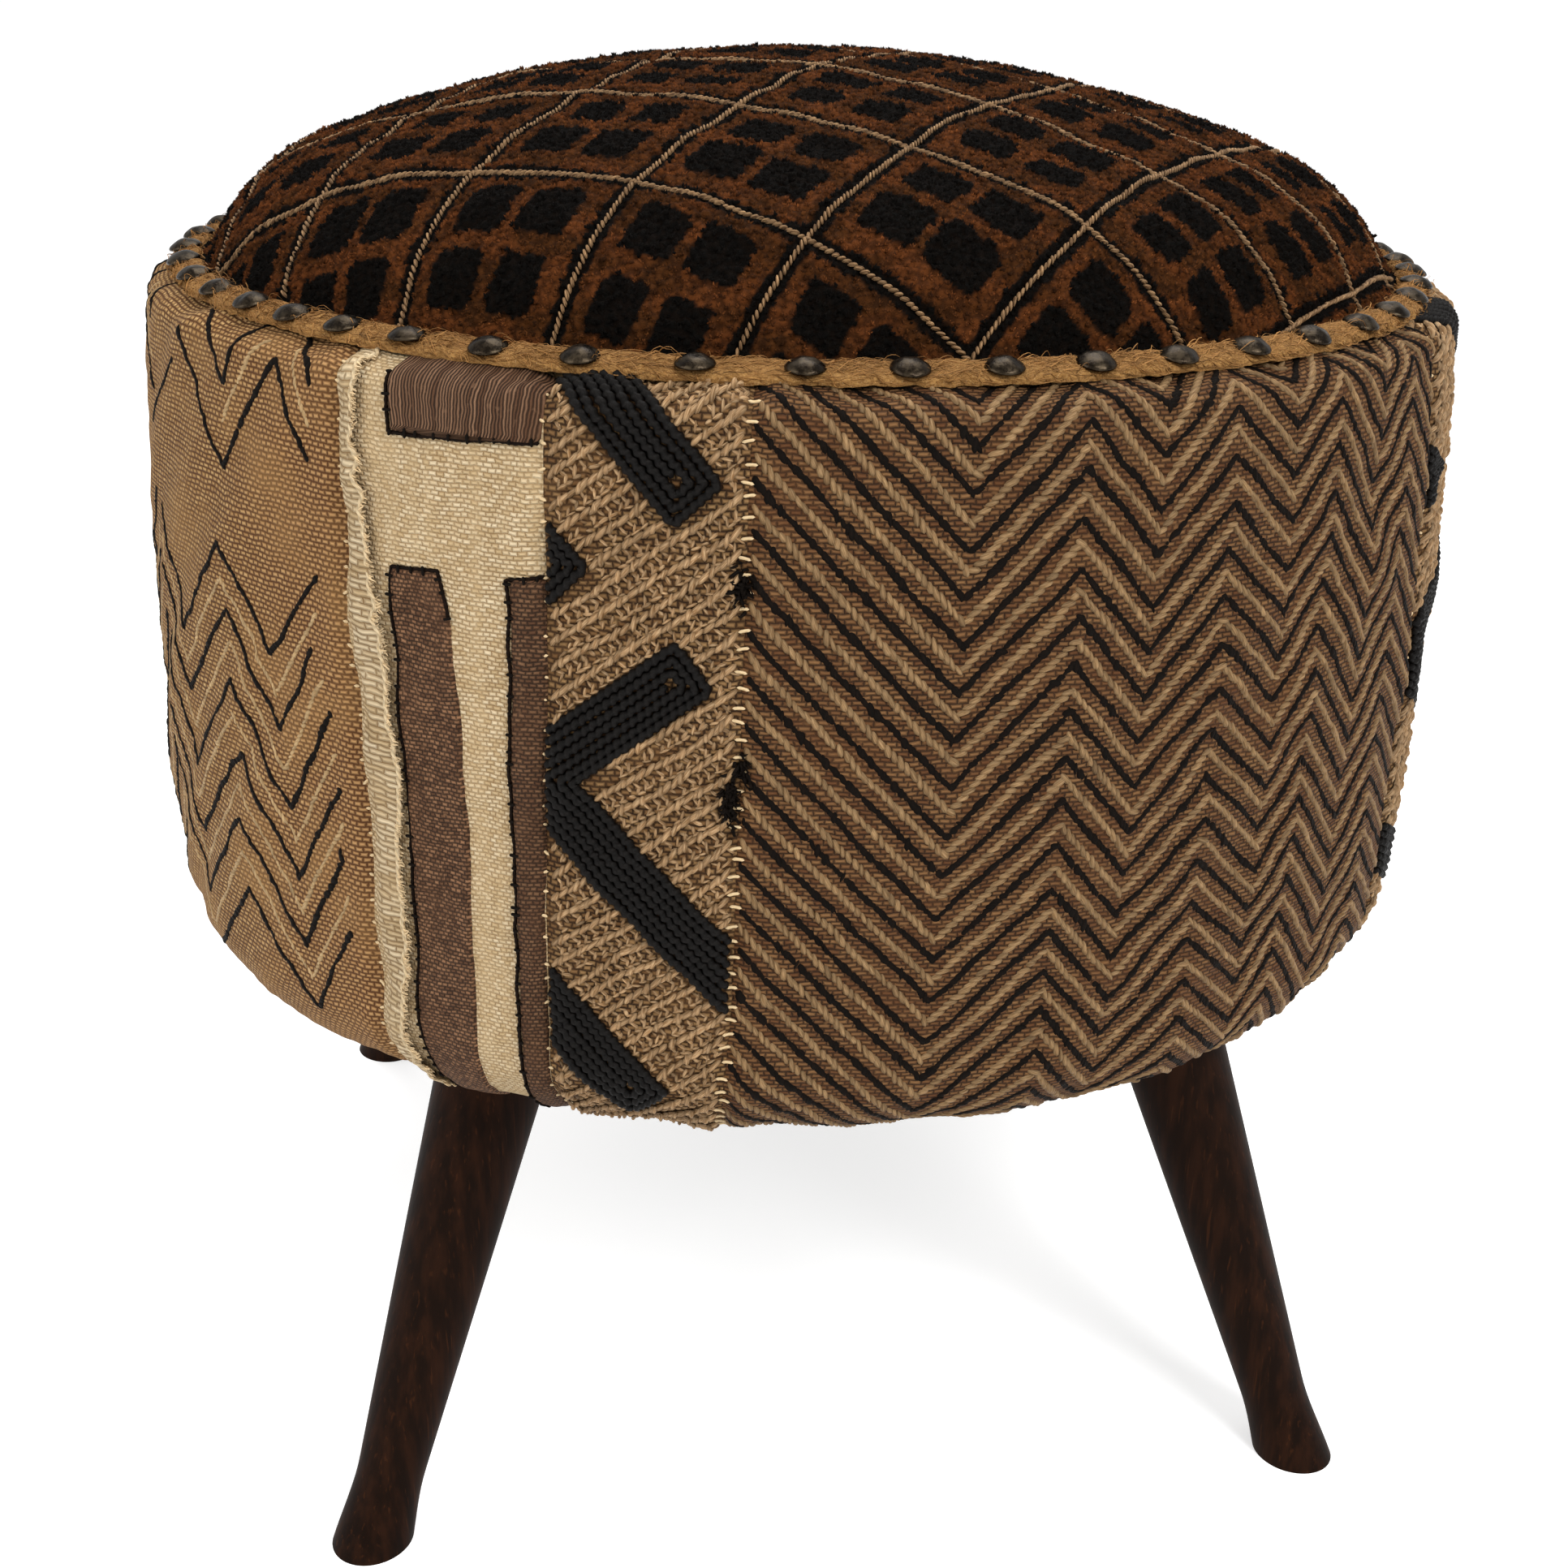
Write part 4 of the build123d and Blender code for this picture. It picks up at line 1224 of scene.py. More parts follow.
# The selvedge's left edge and its ridge, as (length down, azimuth) at the front
SELVEDGE_LEFT = ((-7, -125.1), (36, -124.5), (67, -123.3), (101, -122.7), (136, -122.1), (173, -121.8),
                 (222, -122.1))
SELVEDGE_RIDGE = ((-7, -122.5), (19, -122.3), (34, -121.7), (65, -120.1), (98, -119.1), (133, -118.9),
                  (170, -119.3), (222, -119.7))
SELVEDGE_RISE = 2.3
SELVEDGE_PRESSED = 0.25
SELVEDGE_SINK = 0.3
SELVEDGE_LENGTH = 226.0
SELVEDGE_RAFFIA = dict(cell=(6.5, 1.6), light=CREAM, dark=CREAM_DEEP, gap=colour(112, 84, 50), depth=0.0009)
FRAY_FIBRES = 520
FRAY_ROOT = 1.2
FRAY_ROPE = dict(radius=0.6, sides=7, ridge=0.25, ridge_pitch=2.6, wander=1.2)


def selvedge_rise(down):
    """How far the fold stands up. It is pressed flat where it runs under the band."""
    return SELVEDGE_RISE * (SELVEDGE_PRESSED + (1 - SELVEDGE_PRESSED) * ramp(down, -5, 9))


def selvedge(side, move):
    """The folded edge of the cream cloth."""
    down = np.arange(PATTERN_TOP, PATTERN_END, 1.0)
    left = np.interp(down, *np.array(SELVEDGE_LEFT).T) + move
    ridge = np.interp(down, *np.array(SELVEDGE_RIDGE).T) + move
    ridge = ridge + waves(8, 3, 16, 41)(down, down * 0.3) * 0.16
    share = np.linspace(0, 1, 13)
    azimuth = left[:, None] + (ridge - left)[:, None] * share[None]
    bulge = np.sin(share * math.pi * 0.5) ** 0.7
    creases = waves(8, 4, 15, 42)(azimuth * SIDE_MM_PER_DEGREE, down[:, None])
    height = selvedge_rise(down)[:, None] * (bulge[None] + 0.11 * creases)
    height[:, 0] = -SELVEDGE_SINK
    rows = np.broadcast_to(down[:, None], azimuth.shape)
    points = side_at(azimuth, rows, height + side_ground(azimuth, rows))
    width = float((ridge - left).mean() * SIDE_MM_PER_DEGREE)
    material = woven(f"raffia_selvedge_{side}", (width, SELVEDGE_LENGTH), **SELVEDGE_RAFFIA)
    piece = grid_piece(f"selvedge_cloth_{side}", points, material, "raffia_cream",
                       [f"selvedge_fold_{side}"], uv_grid(*azimuth.shape))
    selvedge_fray(f"selvedge_fray_{side}", down, ridge * SIDE_MM_PER_DEGREE)


def selvedge_fray(name, down, ridge):
    """Loose fibres along the selvedge's ridge, and the thread that they come from."""
    fray = Build()
    at = rng.uniform(PATTERN_TOP + 6, PATTERN_END - 1, FRAY_FIBRES)
    start = np.interp(at, down, ridge)
    reach = rng.uniform(0.2, 1.3, FRAY_FIBRES)
    dip = rng.normal(size=FRAY_FIBRES) * 0.7
    steps = np.linspace(0, 1, 5)
    x = (start - FRAY_ROOT)[:, None] + (FRAY_ROOT + reach)[:, None] * steps
    y = at[:, None] + dip[:, None] * steps**1.5
    lift = rng.uniform(-0.4, 0.7, FRAY_FIBRES)[:, None] * np.sin(steps * 2.6)
    points = on_cloth(x, y, selvedge_rise(y) - 0.2 + lift)
    hairs(fray, points, rng.uniform(0.16, 0.42, FRAY_FIBRES), sides=4, tint=(1.02, 1.0, 0.97))

    def on_fold(x, y, out):
        return on_cloth(x, y, out + selvedge_rise(y) - 0.1)

    tubes_on(fray, on_fold, [np.stack([ridge - 0.7, down], 1)], **FRAY_ROPE)
    fray.finish(name, cream_thread, "raffia_cream")


for side, move in CREAM_MOVES.items():
    for kind, corners in PATCHES.items():
        patch(side, kind, corners, move)
    selvedge(side, move)


# Seams: pale crossing stitches and a few black tufts

SEAM_PITCH, SEAM_PITCH_CHEVRON_FRONT = 6.5, 4.6
SEAM_REACH, SEAM_REACH_CHEVRON = 1.2, 1.9
SEAM_THREAD = dict(radius=0.42, step=0.5, out=0.35, sides=6, tint=(1.08, 1.05, 1.0))


def seam_paths(name):
    """Short slanting stitches across a panel's left seam."""
    pitch = SEAM_PITCH_CHEVRON_FRONT if name == "chevron_front" else SEAM_PITCH
    reach = SEAM_REACH_CHEVRON if "chevron" in name else SEAM_REACH
    down = np.arange(2.0, 218.0, pitch)
    down = down + rng.normal(size=len(down)) * pitch * 0.12
    middle = seam_at(name, down) * SIDE_MM_PER_DEGREE
    lean = rng.normal(size=len(down)) * 0.35
    return [np.array([(x - reach * r, y + d), (x + reach * (2 - r), y - d)])
            for x, y, d, r in zip(middle, down, lean, rng.uniform(0.7, 1.4, len(down)))]


def seams():
    pale = Build()
    paths = [path for name in names for path in seam_paths(name)]
    tubes_on(pale, on_cloth, paths, **SEAM_THREAD)
    pale.finish("seam_stitches", cream_thread, "raffia_cream")


# Loose black tufts at seams: azimuth, length down, spread down, fibres
SEAM_TUFTS = ((-93.3, 46.0, 2.4, 60), (-93.2, 92.0, 2.0, 40), (-93.9, 100.0, 3.2, 90), (26.2, 70.0, 3.0, 70))


def seam_tufts():
    build = Build()
    steps = np.linspace(0, 1, 6)
    for azimuth, down, spread, count in SEAM_TUFTS:
        x = azimuth * SIDE_MM_PER_DEGREE + rng.normal(size=count) * 0.9
        y = down + rng.normal(size=count) * spread
        heading = math.pi / 2 + rng.normal(size=count) * 0.9
        length = rng.uniform(1.2, 3.2, count)
        curl = rng.normal(size=count) * 0.8
        turn = heading[:, None] + curl[:, None] * steps
        x = x[:, None] + np.cumsum(np.cos(turn), 1) * length[:, None] / 6
        y = y[:, None] + np.cumsum(np.sin(turn), 1) * length[:, None] / 6
        out = 0.3 + rng.uniform(0.3, 1.6, count)[:, None] * np.sin(steps * 2.6)
        hairs(build, on_cloth(x, y, out), rng.uniform(0.3, 0.6, count), sides=4)
    build.finish("seam_tufts", black_thread, "rope_black")


seams()
seam_tufts()


# The seat: a grid of cream cords on cut pile, with four black squares in each
# cell. Lattice steps are on the flat cover, in mm

LATTICE = np.array([(-17.5, -85.3), (46.3, -25.4), (23.5, 49.5), (-0.6, -1.9), (1.3, -1.8), (-1.4, -3.3)])
LATTICE_MM = (52.8, 54.8)
CELL_MIDDLE = (0.485, 0.535)
SQUARE_HALF = 7.2
SQUARE_OFF = 0.19
CORD_FLANK = 3.0
CORD_STITCH = dict(pitch=1.75, length=2.5, width=1.0, height=0.95, slant=0.5, tilt=0.5, jitter=0.09,
                   lift=0.45, tones=0.14, along=8, across=7)
CORD_DRIFT = 0.6
MOUND_HEIGHT = 0.36
TUFT_LUMPS = 0.3
FURROW_DEPTH, FURROW_SPREAD = 1.1, 2.2
BLACK_RISE = 0.25
PILE_SINK = 0.2
DOME_GRID = 440
TUFT_PITCH = 2.2
TUFT_ROW = 0.87
TUFT_FIBRES = 6
TUFT_CORD_GAP = 1.5
drift_x, drift_y = waves(9, 60, 190, 51), waves(9, 60, 190, 52)
edge_noise = waves(26, 2.6, 9.0, 53)
mound = waves(12, 16, 60, 54)
tuft_lumps = waves(36, 2.3, 4.6, 55)
pile_shader = pile_ground("pile")
tuft_shader = pile_tuft("pile_tufts")


def lattice_point(i, j):
    """Flat places of lattice steps. The cords curve where the photo shows it and run straight beyond."""
    i, j = together(i, j)
    i_curve = np.where(np.abs(i) < 3, i * i, 6 * np.abs(i) - 9)
    j_curve = np.where(np.abs(j) < 1, j * j, 2 * np.abs(j) - 1)
    terms = (np.ones(i.shape), i, j, i_curve, np.clip(i, -3, 3) * np.clip(j, -2, 2), j_curve)
    return sum(term[..., None] * step for term, step in zip(terms, LATTICE))


def lattice_share(x, y):
    """Lattice steps of flat places, found by stepping in on the curves."""
    target = np.stack(np.broadcast_arrays(x, y), -1)
    inverse = np.linalg.inv(LATTICE[1:3].T)
    found = np.zeros(target.shape)
    for _ in range(8):
        found = found + (target - lattice_point(found[..., 0], found[..., 1])) @ inverse.T
    return found[..., 0], found[..., 1]


def drifted(x, y):
    return CORD_DRIFT * drift_x(x, y), CORD_DRIFT * drift_y(x, y)


def pattern(x, y):
    """Where the pile is black, from 0 to 1, and how near a cord is, in mm."""
    drift = drifted(x, y)
    i, j = lattice_share(x + drift[0], y + drift[1])
    i_mm, j_mm = LATTICE_MM
    cord = np.minimum(np.abs(j - np.round(j)) * j_mm, np.abs(i - np.round(i)) * i_mm)
    fi, fj = i - np.floor(i) - CELL_MIDDLE[0], j - np.floor(j) - CELL_MIDDLE[1]
    odd = np.sin(np.floor(i) * 12.9 + np.floor(j) * 78.2 + np.sign(fi) * 3.1 + np.sign(fj) * 5.7)
    size = SQUARE_HALF * (1 + 0.09 * odd + 0.12 * ramp(-y, 70, 130))
    dx = np.abs(np.abs(fi) - SQUARE_OFF) * i_mm
    dy = np.abs(np.abs(fj) - SQUARE_OFF) * j_mm
    square = size - (dx**6 + dy**6) ** (1 / 6)
    wobble = 0.3 * edge_noise(x, y)
    black = np.maximum(ramp(square + wobble, -0.35, 0.35), ramp(CORD_FLANK - cord + wobble, -0.4, 0.4))
    return black, cord

def dome_ground(x, y, detail=True):
    """How far the pile stands off the seat's plain outline, in mm."""
    black, cord = pattern(x, y)
    furrow = FURROW_DEPTH * np.exp(-((cord / FURROW_SPREAD) ** 2))
    height = MOUND_HEIGHT * mound(x, y) - furrow + BLACK_RISE * black
    if detail:
        height = height + TUFT_LUMPS * tuft_lumps(x, y)
    fade = ramp(np.hypot(x, y), DOME_REACH + 8, DOME_REACH - 6)
    return (height - PILE_SINK) * fade


def under_cords(x, y, out):
    """World points on the pile's ground without its fine lumps."""
    return dome_at(x, y, out + dome_ground(x, y, False))


def pile_tint(x, y, black):
    patch = 0.5 + 0.5 * mound(x * 1.7, y * 1.7)
    rust = RUST_DEEP + (RUST - RUST_DEEP) * np.clip(patch, 0, 1)[..., None]
    return rust * (1 - black[..., None]) + PILE_BLACK * black[..., None]


def seat_cover():
    """The pile's ground, on a grid whose squares are bent to circles."""
    side = np.linspace(-1, 1, DOME_GRID)
    u, v = np.meshgrid(side, side, indexing="ij")
    reach = np.maximum(np.abs(u), np.abs(v))
    wide = np.abs(u) > np.abs(v)
    turn = np.where(wide, v / np.where(u == 0, 1, u), 2 - u / np.where(v == 0, 1, v))
    turn = np.where(np.where(wide, u, v) < 0, turn + 4, turn) * math.pi / 4
    radius = reach * (DOME.length[-1] - 0.5)
    x, y = radius * np.cos(turn), radius * np.sin(turn)
    black, _ = pattern(x, y)
    uv = np.stack([(u + 1) / 2, (v + 1) / 2], -1)
    piece = grid_piece("seat_cloth", dome_at(x, y, dome_ground(x, y)), pile_shader, "raffia_pile",
                       ["pile_cover"], uv, pile_tint(x, y, black), turned=False)


def tuft_roots():
    """Where the pile's small tufts stand on the flat cover."""
    local = np.random.default_rng(61)
    reach = int(DOME_REACH / TUFT_PITCH) + 2
    row, column = np.meshgrid(np.arange(-reach * 1.2, reach * 1.2), np.arange(-reach, reach), indexing="ij")
    x = (column + 0.5 * (row % 2)) * TUFT_PITCH
    y = row * TUFT_PITCH * TUFT_ROW
    x, y = (v.ravel() + local.normal(size=v.size) * 0.3 for v in (x, y))
    keep = np.hypot(x, y) < DOME_REACH + 2.5
    return x[keep], y[keep]


def tufts(name, x, y, seed):
    """Small tufts of cut pile, each a bunch of short fibres that fans out. Their tints hold painted shade at
    roots and rims and a painted highlight at tips.
    """
    local = np.random.default_rng(seed)
    black, cord = pattern(x, y)
    keep = cord > TUFT_CORD_GAP
    x, y, black = x[keep], y[keep], black[keep]
    black = (black > 0.5).astype(float)
    tone = local.uniform(0.35, 1.65, len(x))
    tuft_tall = local.normal(size=len(x)) * 0.08
    x, y, black, tone, tuft_tall = (np.repeat(v, TUFT_FIBRES) for v in (x, y, black, tone, tuft_tall))
    heading = local.uniform(0, 2 * math.pi, len(x))
    away = np.sqrt(local.uniform(0, 1, len(x)))
    fan = np.stack([np.cos(heading), np.sin(heading)])
    root_x, root_y = x + fan[0] * away * 0.45, y + fan[1] * away * 0.45
    lean = fan * away * 0.62 + local.normal(size=fan.shape) * 0.1
    tall = 0.85 - 0.4 * away**2 + tuft_tall + local.normal(size=len(x)) * 0.05
    ground = dome_ground(x, y)
    base = dome_at(root_x, root_y, ground - 0.25)
    tip = dome_at(root_x + lean[0], root_y + lean[1], ground + tall)
    up = unit(tip - base)
    side = unit(np.cross(up, local.normal(size=up.shape)))
    other = np.cross(up, side)
    wide = local.uniform(0.38, 0.55, len(x))[:, None]
    ring = [base + wide * (math.cos(a) * side + math.sin(a) * other) for a in (0, 2.09, 4.19)]
    points = np.stack([*ring, tip], 1)
    # A random tone per tuft and fibre, with painted shade at each tuft's rim and a painted highlight in its
    # middle
    shade = np.clip(tone * local.uniform(0.75, 1.3, len(x)) * (1.35 - 0.7 * away), 0.15, 2.4)[:, None]
    # Painted shade at the fibres' roots and a painted highlight at their tips
    low = pile_tint(x, y, black) * 0.25
    high = pile_tint(x, y, black) * shade * 1.6
    tint = np.stack([low, low, low, high], 1)
    start = np.arange(len(x))[:, None] * 4
    tris = np.concatenate([start + [0, 1, 3], start + [1, 2, 3], start + [2, 0, 3]])
    make_piece(name, points.reshape(-1, 3), tris, tint.reshape(-1, 3), tuft_shader)


def seat_cords():
    paths = []
    steps = np.linspace(-7, 9, 400)
    for k in range(-6, 9):
        for points in (lattice_point(steps, k), lattice_point(k, steps)):
            points = points - np.stack(drifted(points[:, 0], points[:, 1]), 1)
            inside = np.hypot(points[:, 0], points[:, 1]) < DOME_REACH + 1.0
            paths += runs_where(points, inside, 3)
    stitched("seat_cords", under_cords, paths, cord_thread, "raffia_cream", **CORD_STITCH)


seat_cover()
tuft_x, tuft_y = tuft_roots()
for index in range(3):
    tufts(f"pile_tufts_{index + 1}", tuft_x[index::3], tuft_y[index::3], 60 + index)
seat_cords()


# The jute band and its fibres

RIM_MM_PER_DEGREE = math.radians(1) * 190.0
BAND_UV_MM = (1194.0, 11.0)
BAND_STEPS = 1500
BAND_LIP = 1.02
NAIL_PRESS = 6.0
JUTE_FIBRES = 7600
band_edge = waves(16, 3, 24, 71)
band_lumps = waves(24, 1.6, 7, 72)


def nail_azimuths():
    pitch = 360.0 / NAIL_COUNT
    half = NAIL_COUNT // 2
    return np.array([NAIL_START + (k + NAIL_NUDGES[k % len(NAIL_NUDGES)]) * pitch
                     for k in range(half - NAIL_COUNT, half)])


NAILS = nail_azimuths()


def near_nail(azimuth):
    off = np.abs(apart(azimuth[..., None], NAILS)).min(-1)
    return np.exp(-((off * RIM_MM_PER_DEGREE / NAIL_PRESS) ** 2))


def band_place(azimuth, across):
    """The band's surface, with across from -1 at its inner edge to 1 outside."""
    flat = azimuth * RIM_MM_PER_DEGREE
    pressed = near_nail(azimuth)
    half = BAND_HALF_WIDTH * (1 - 0.06 * pressed) + 0.3 * band_edge(flat, 40 * np.sign(across))
    crown = BAND_THICKNESS * (1 - 0.42 * pressed) * (1 - np.abs(across) ** 4) ** 0.5
    out = BAND_UNDER + crown + 0.14 * band_lumps(flat, across * 5) * (1 - np.abs(across) ** 3)
    return BAND_CENTRE + half * across, np.maximum(out, BAND_UNDER - 0.4)


def jute():
    turn = np.linspace(-180, 180, BAND_STEPS)
    across = np.concatenate([[-BAND_LIP], np.linspace(-1, 1, 17), [BAND_LIP]])
    azimuth, share = np.meshgrid(turn, across, indexing="ij")
    along, out = band_place(azimuth, np.clip(share, -1, 1))
    out = np.where(np.abs(share) > 1, BAND_UNDER - 0.5, out)
    uv = np.stack([(azimuth + 180) / 360, (share + BAND_LIP) / (2 * BAND_LIP)], -1)
    piece = grid_piece("jute_strip", rim_at(azimuth, along, out), jute_weave("jute_band", BAND_UV_MM),
                       "jute", ["jute_band"], uv, turned=False)


def jute_fibres(count):
    build = Build()
    azimuth = rng.uniform(-180, 180, count)
    share = rng.uniform(-1, 1, count)
    length = rng.uniform(3.0, 11.0, count)
    heading = rng.normal(size=count) * 0.45
    curl = rng.normal(size=count) * 0.5
    steps = np.linspace(0, 1, 6)
    bend = heading[:, None] + curl[:, None] * steps
    dx = np.cumsum(np.cos(bend), 1) * (length / 6)[:, None]
    dy = np.cumsum(np.sin(bend), 1) * (length / 6)[:, None]
    at = azimuth[:, None] + dx / RIM_MM_PER_DEGREE
    across = np.clip(share[:, None] + dy / BAND_HALF_WIDTH, -1.25, 1.25)
    along, out = band_place(at, np.clip(across, -1, 1))
    beyond = np.abs(across) - np.minimum(np.abs(across), 1)
    along = along + np.sign(across) * beyond * BAND_HALF_WIDTH
    free = rng.uniform(0.0, 0.5, count) * (rng.uniform(size=count) < 0.35)
    free = free + rng.uniform(0.5, 1.6, count) * (rng.uniform(size=count) < 0.06)
    out = np.maximum(out, BAND_UNDER + 0.4) + 0.05 + free[:, None] * np.sin(steps * 3.0) * 1.6
    fibres = rng.uniform(0.06, 0.17, count)
    hairs(build, rim_at(at, along, out), fibres, tint=(1.05, 1.02, 1.0), tones=0.2)
    build.finish("jute_fibres", jute_fibre, "jute")


jute()
jute_fibres(JUTE_FIBRES)

NAIL_R = 5.0
NAIL_RISE = 2.3
NAIL_LENGTH = 14.0
NAIL_OUT = 3.5
NAIL_RIM = -0.45
NAIL_UNDER = -0.6
NAIL_LEAN = 9.0
NAIL_ASKEW = 2.5
SHANK_R = 0.9
SHANK_POINT_R = 0.05
SHANK_POINT = 3.0


def nails():
    """Hammered domed heads, each a little askew, with their shanks."""
    build = Build()
    share = np.array([0.0, 0.18, 0.36, 0.54, 0.70, 0.84, 0.94, 1.0, 1.0, 0.93])
    cap = NAIL_RISE * (1 - share**2) ** 0.85
    cap[-2:] = (NAIL_RIM, NAIL_UNDER)
    profile_r = np.r_[share * NAIL_R, SHANK_R, SHANK_R, SHANK_POINT_R]
    profile_z = np.r_[cap, NAIL_UNDER, SHANK_POINT - NAIL_LENGTH, -NAIL_LENGTH]
    turn = np.linspace(0, 2 * math.pi, 33)
    x, y = np.outer(profile_r, np.cos(turn)), np.outer(profile_r, np.sin(turn))
    r0 = RIM_INNER + BAND_CENTRE * math.cos(RIM_SLOPE) + NAIL_OUT * math.sin(RIM_SLOPE)
    z0 = RIM_Z - BAND_CENTRE * math.sin(RIM_SLOPE) + NAIL_OUT * math.cos(RIM_SLOPE)
    for index, azimuth in enumerate(NAILS):
        beaten = waves(10, 2.5, 8.0, 400 + index)
        z = profile_z[:, None] + 0.08 * beaten(x, y) * (x * x + y * y < NAIL_R**2)
        lean = math.radians(NAIL_LEAN + NAIL_ASKEW * rng.normal())
        twist = math.radians(NAIL_ASKEW * rng.normal())
        r = r0 + x * math.cos(lean) + z * math.sin(lean)
        height = z0 + z * math.cos(lean) - x * math.sin(lean)
        along = y * math.cos(twist) + z * math.sin(twist)
        c, s = math.cos(math.radians(azimuth)), math.sin(math.radians(azimuth))
        build.add(np.stack([r * c - along * s, r * s + along * c, height], -1), grid_quads(*x.shape))
    material = metal("nail_bronze", colour(66, 57, 45), colour(36, 30, 24), 0.27, 420.0)
    build.finish("nails", material, "nail_bronze", ["band_nails"])


nails()


# Inside and below

LATHE_SIDES = 180
PAD_INSET = 4.6
PAD_BASE_Z = RIM_Z - 1.4
SIDE_PAD_INSET = 5.2
WALL_R = 174.4
WALL_TOP_Z = 352.0
WALL_LOW_Z = 162.5
SIDE_PAD_FOOT = (176.0, 161.6)
DUST_RINGS = (0.5, 166.0, 70)
DUST_Z = 158.5
DUST_SAG = 0.7
DUST_CREASE = 0.22
PLATE_CIRCLE_R = 145.3
PLATE_NEAR, PLATE_FAR = 28, 48


def lathed(name, outline, material, slot, replaces, lift=None):
    """A turned piece from (radius, height) points in mm, closed on its axis or on itself."""
    outline = np.asarray(outline, float)
    turn = np.linspace(0, 2 * math.pi, LATHE_SIDES + 1)
    points = spun(outline[:, :1], turn, outline[:, 1:] * np.ones_like(turn))
    if lift is not None:
        points[..., 2] += lift(points[..., 0], points[..., 1])
    return grid_piece(name, points, material, slot, replaces)


def near_plates(x, y):
    """0 on the leg plates and 1 well away from them."""
    free = np.ones_like(x)
    for azimuth in LEG_AZIMUTHS:
        turn = math.radians(azimuth)
        gap = np.hypot(x - PLATE_CIRCLE_R * math.cos(turn), y - PLATE_CIRCLE_R * math.sin(turn))
        free = free * ramp(gap, PLATE_NEAR, PLATE_FAR)
    return free


def padding():
    """The seat's pad under its cover, and the pad round the wall."""
    wadding = rough_stuff("wadding", colour(228, 226, 220), colour(188, 186, 180), 260.0)
    r, z = DOME.at(DOME.length[DOME.length < DOME_REACH][::12], -PAD_INSET)
    top = [(0.0, z[0]), *zip(r[1:], z[1:])]
    profile = [*top, (r[-1], PAD_BASE_Z), (0.0, PAD_BASE_Z)]
    pad = lathed("seat_pad", profile, wadding, "wadding", ["seat_foam", "seat_wadding"])
    foam = rough_stuff("foam", colour(214, 196, 140), colour(170, 150, 98), 700.0, open_cells=True)
    inside = SIDE.at(SIDE_END - np.linspace(6, SIDE_END - 26, 60), -SIDE_PAD_INSET)
    start = (WALL_R, WALL_TOP_Z)
    profile = [start, *zip(*inside), SIDE_PAD_FOOT, (WALL_R, WALL_LOW_Z), start]
    side_pad = lathed("side_pad", profile[::-1], foam, "foam", ["side_padding"])


def dust_cover():
    """The cloth underneath, which sags a little between the leg plates."""
    cloth = rough_stuff("dust_cloth", colour(40, 38, 38), colour(18, 17, 17), 900.0, 0.0002)
    creases = waves(16, 18, 90, 81)
    edge = DUST_RINGS[1]

    def lift(x, y):
        reach = np.hypot(x, y)
        sag = DUST_SAG * (1 - (reach / edge) ** 2) ** 2
        return -sag - DUST_CREASE * (creases(x, y) + 1) * ramp(reach, edge - 1, 120) * near_plates(x, y)

    profile = [(r, DUST_Z) for r in np.linspace(*DUST_RINGS)[::-1]]
    cover = lathed("dust_cloth_sheet", profile, cloth, "dust_cloth", ["dust_cover"], lift)


padding()
dust_cover()


# The CAD parts that stay, by how their names start

SCREW = (colour(170, 164, 150), colour(124, 118, 106))
STAPLE = (colour(176, 174, 168), colour(130, 128, 122))
PLYWOOD = (colour(196, 164, 120), colour(150, 116, 76))


def cad_looks():
    looks = {
        "leg_": turned_wood("leg_wood", colour(38, 20, 10), colour(20, 10, 5), colour(62, 34, 17), 0.5, 0.04),
        "leg_plate_": metal("plate_steel", colour(70, 68, 66), colour(40, 39, 38), 0.45, metallic=0.8),
        "leg_bolts": metal("bolt_steel", colour(160, 158, 150), colour(120, 116, 108)),
        "leg_screws": metal("screw_steel", *SCREW),
        "post_screws": metal("post_screw_steel", *SCREW),
        "hem_staples": metal("staple_steel", *STAPLE),
        "wall_staples": metal("wall_staple_steel", *STAPLE),
        "base_board": layered_board("base_plywood", *PLYWOOD),
        "top_board": layered_board("top_plywood", *PLYWOOD),
        "drum_wall": rough_stuff("hardboard", colour(120, 88, 58), colour(88, 62, 40), 900.0, 0.0001),
        "post_": turned_wood("post_wood", colour(206, 170, 118), colour(176, 138, 88), colour(150, 108, 62),
                             0.7),
    }
    for name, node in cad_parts.items():
        fits = [key for key in looks if name.startswith(key)]
        if node.hide_render or not fits:
            continue
        material = looks[max(fits, key=len)]
        if not node.material_slots:
            node.data.materials.append(material)
        for slot in node.material_slots:
            slot.material = material


cad_looks()


# Camera, floor and light

PHOTO_SIDE = 1932
FOCAL_PX = 2555.0
SENSOR = 36.0
CAMERA_PLACE = (0.0, -0.67379, 0.47042)
CAMERA_RIGHT = (0.99970204, 0.01078846, 0.02189604)
CAMERA_DOWN = (0.02437209, -0.39146535, -0.91987003)
CAMERA_AHEAD = (-0.00135244, 0.9201296, -0.39161165)
FLOOR_SIZE = 60.0
FLOOR_GLOW = 0.5
WORLD_LIGHT = 0.62
LIT_POINT = (0, 0, 0.25)

# Name, place in m, size in m and power in W of each lamp
LAMPS = (
    ("key", (0.9, -1.3, 1.5), 0.9, 28.0),
    ("fill", (-1.3, -0.9, 1.1), 1.2, 14.0),
    ("top", (0.1, 0.5, 1.9), 1.2, 17.0),
)


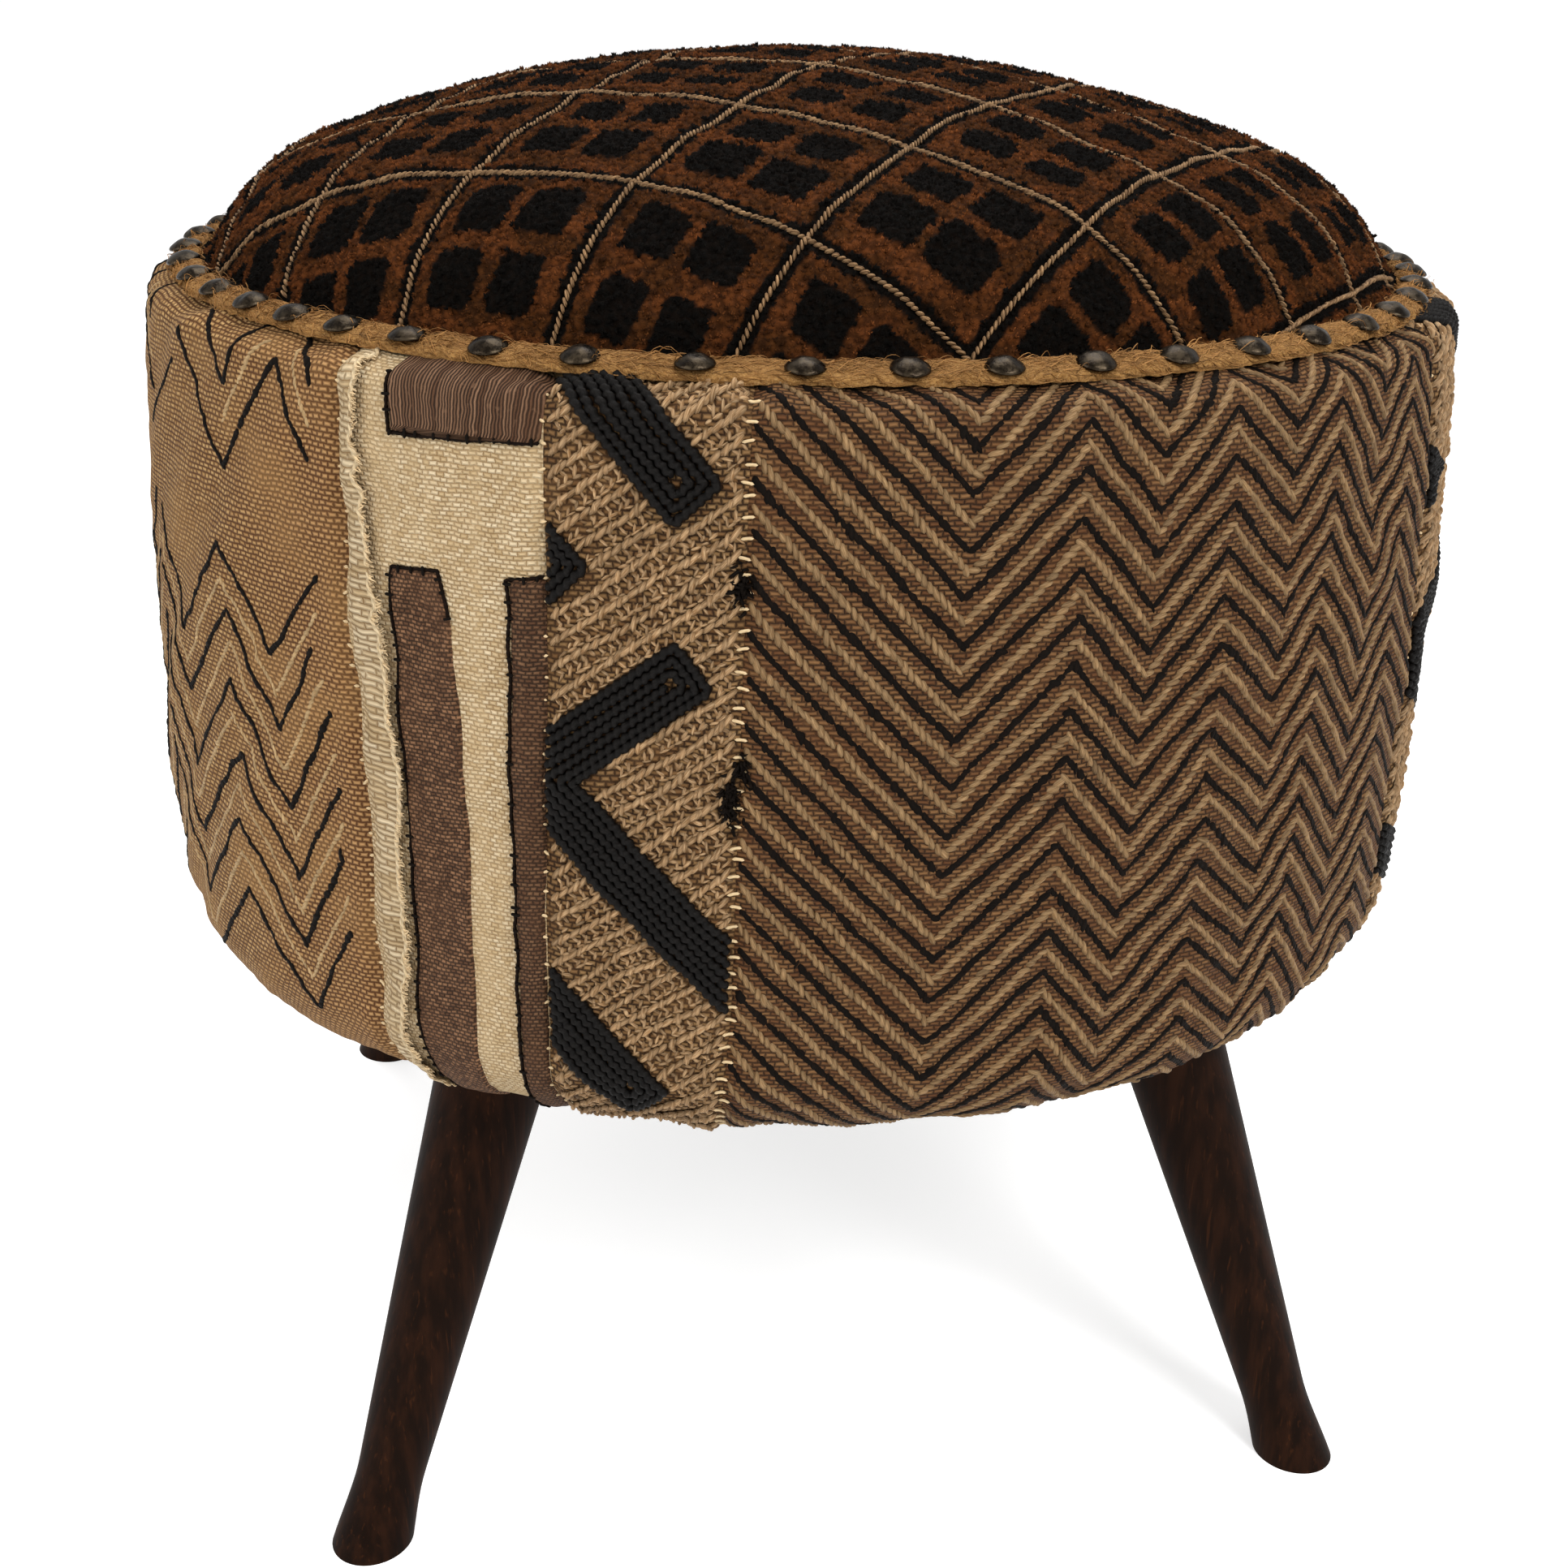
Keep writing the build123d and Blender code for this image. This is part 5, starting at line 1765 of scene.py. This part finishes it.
def photo_camera():
    """The camera that was fitted to the photo."""
    camera = bpy.data.objects.new("camera", bpy.data.cameras.new("camera"))
    bpy.context.scene.collection.objects.link(camera)
    camera.data.sensor_width = SENSOR
    camera.data.lens = SENSOR * FOCAL_PX / PHOTO_SIDE
    camera.data.clip_end = 20.0
    axes = (CAMERA_RIGHT, [-v for v in CAMERA_DOWN], [-v for v in CAMERA_AHEAD])
    camera.matrix_world = Matrix.Translation(CAMERA_PLACE) @ Matrix(axes).transposed().to_4x4()
    bpy.context.scene.camera = camera


def pale_floor():
    """A floor that catches shadows and otherwise nears the world's white."""
    bpy.ops.mesh.primitive_plane_add(size=FLOOR_SIZE)
    floor = bpy.context.object
    floor.name = "floor"
    sh = shader("floor")
    path = sh.node("ShaderNodeLightPath")
    seen = sh.math("MAXIMUM", path.outputs["Is Camera Ray"], path.outputs["Is Glossy Ray"])
    seen = sh.math("MAXIMUM", seen, path.outputs["Is Transmission Ray"])
    grain = sh.noise(sh.place(), 60.0, 2.0)
    tone = sh.mix(sh.times(grain, 0.03), (0.86, 0.86, 0.86, 1), (0.8, 0.8, 0.8, 1))
    matte = sh.node("ShaderNodeBsdfDiffuse", Color=tone)
    glow = sh.node("ShaderNodeEmission", Strength=sh.times(seen, FLOOR_GLOW))
    both = sh.node("ShaderNodeAddShader", i_0=matte.outputs[0], i_1=glow.outputs[0])
    floor.data.materials.append(sh.finish("ShaderNodeOutputMaterial", both))


def pale_world():
    """White where the camera sees it, and a soft light elsewhere."""
    sh = Shader(bpy.data.worlds.new("world"))
    path = sh.node("ShaderNodeLightPath")
    lit = sh.node("ShaderNodeBackground", Color=(1.0, 0.99, 0.98, 1), Strength=WORLD_LIGHT)
    shown = sh.node("ShaderNodeBackground", Color=(1, 1, 1, 1))
    both = sh.node("ShaderNodeMixShader", i_0=path.outputs["Is Camera Ray"], i_1=lit.outputs[0],
                   i_2=shown.outputs[0])
    bpy.context.scene.world = sh.finish("ShaderNodeOutputWorld", both)


def lamp(name, place, size, power):
    data = bpy.data.lights.new(name, "AREA")
    data.shape = "DISK"
    data.size = size
    data.energy = power
    made = bpy.data.objects.new(name, data)
    bpy.context.scene.collection.objects.link(made)
    made.location = place
    made.rotation_mode = "QUATERNION"
    made.rotation_quaternion = (Vector(LIT_POINT) - made.location).to_track_quat("-Z", "Y")


photo_camera()
pale_floor()
pale_world()
for settings in LAMPS:
    lamp(*settings)
bpy.context.scene.view_settings.view_transform = "Standard"
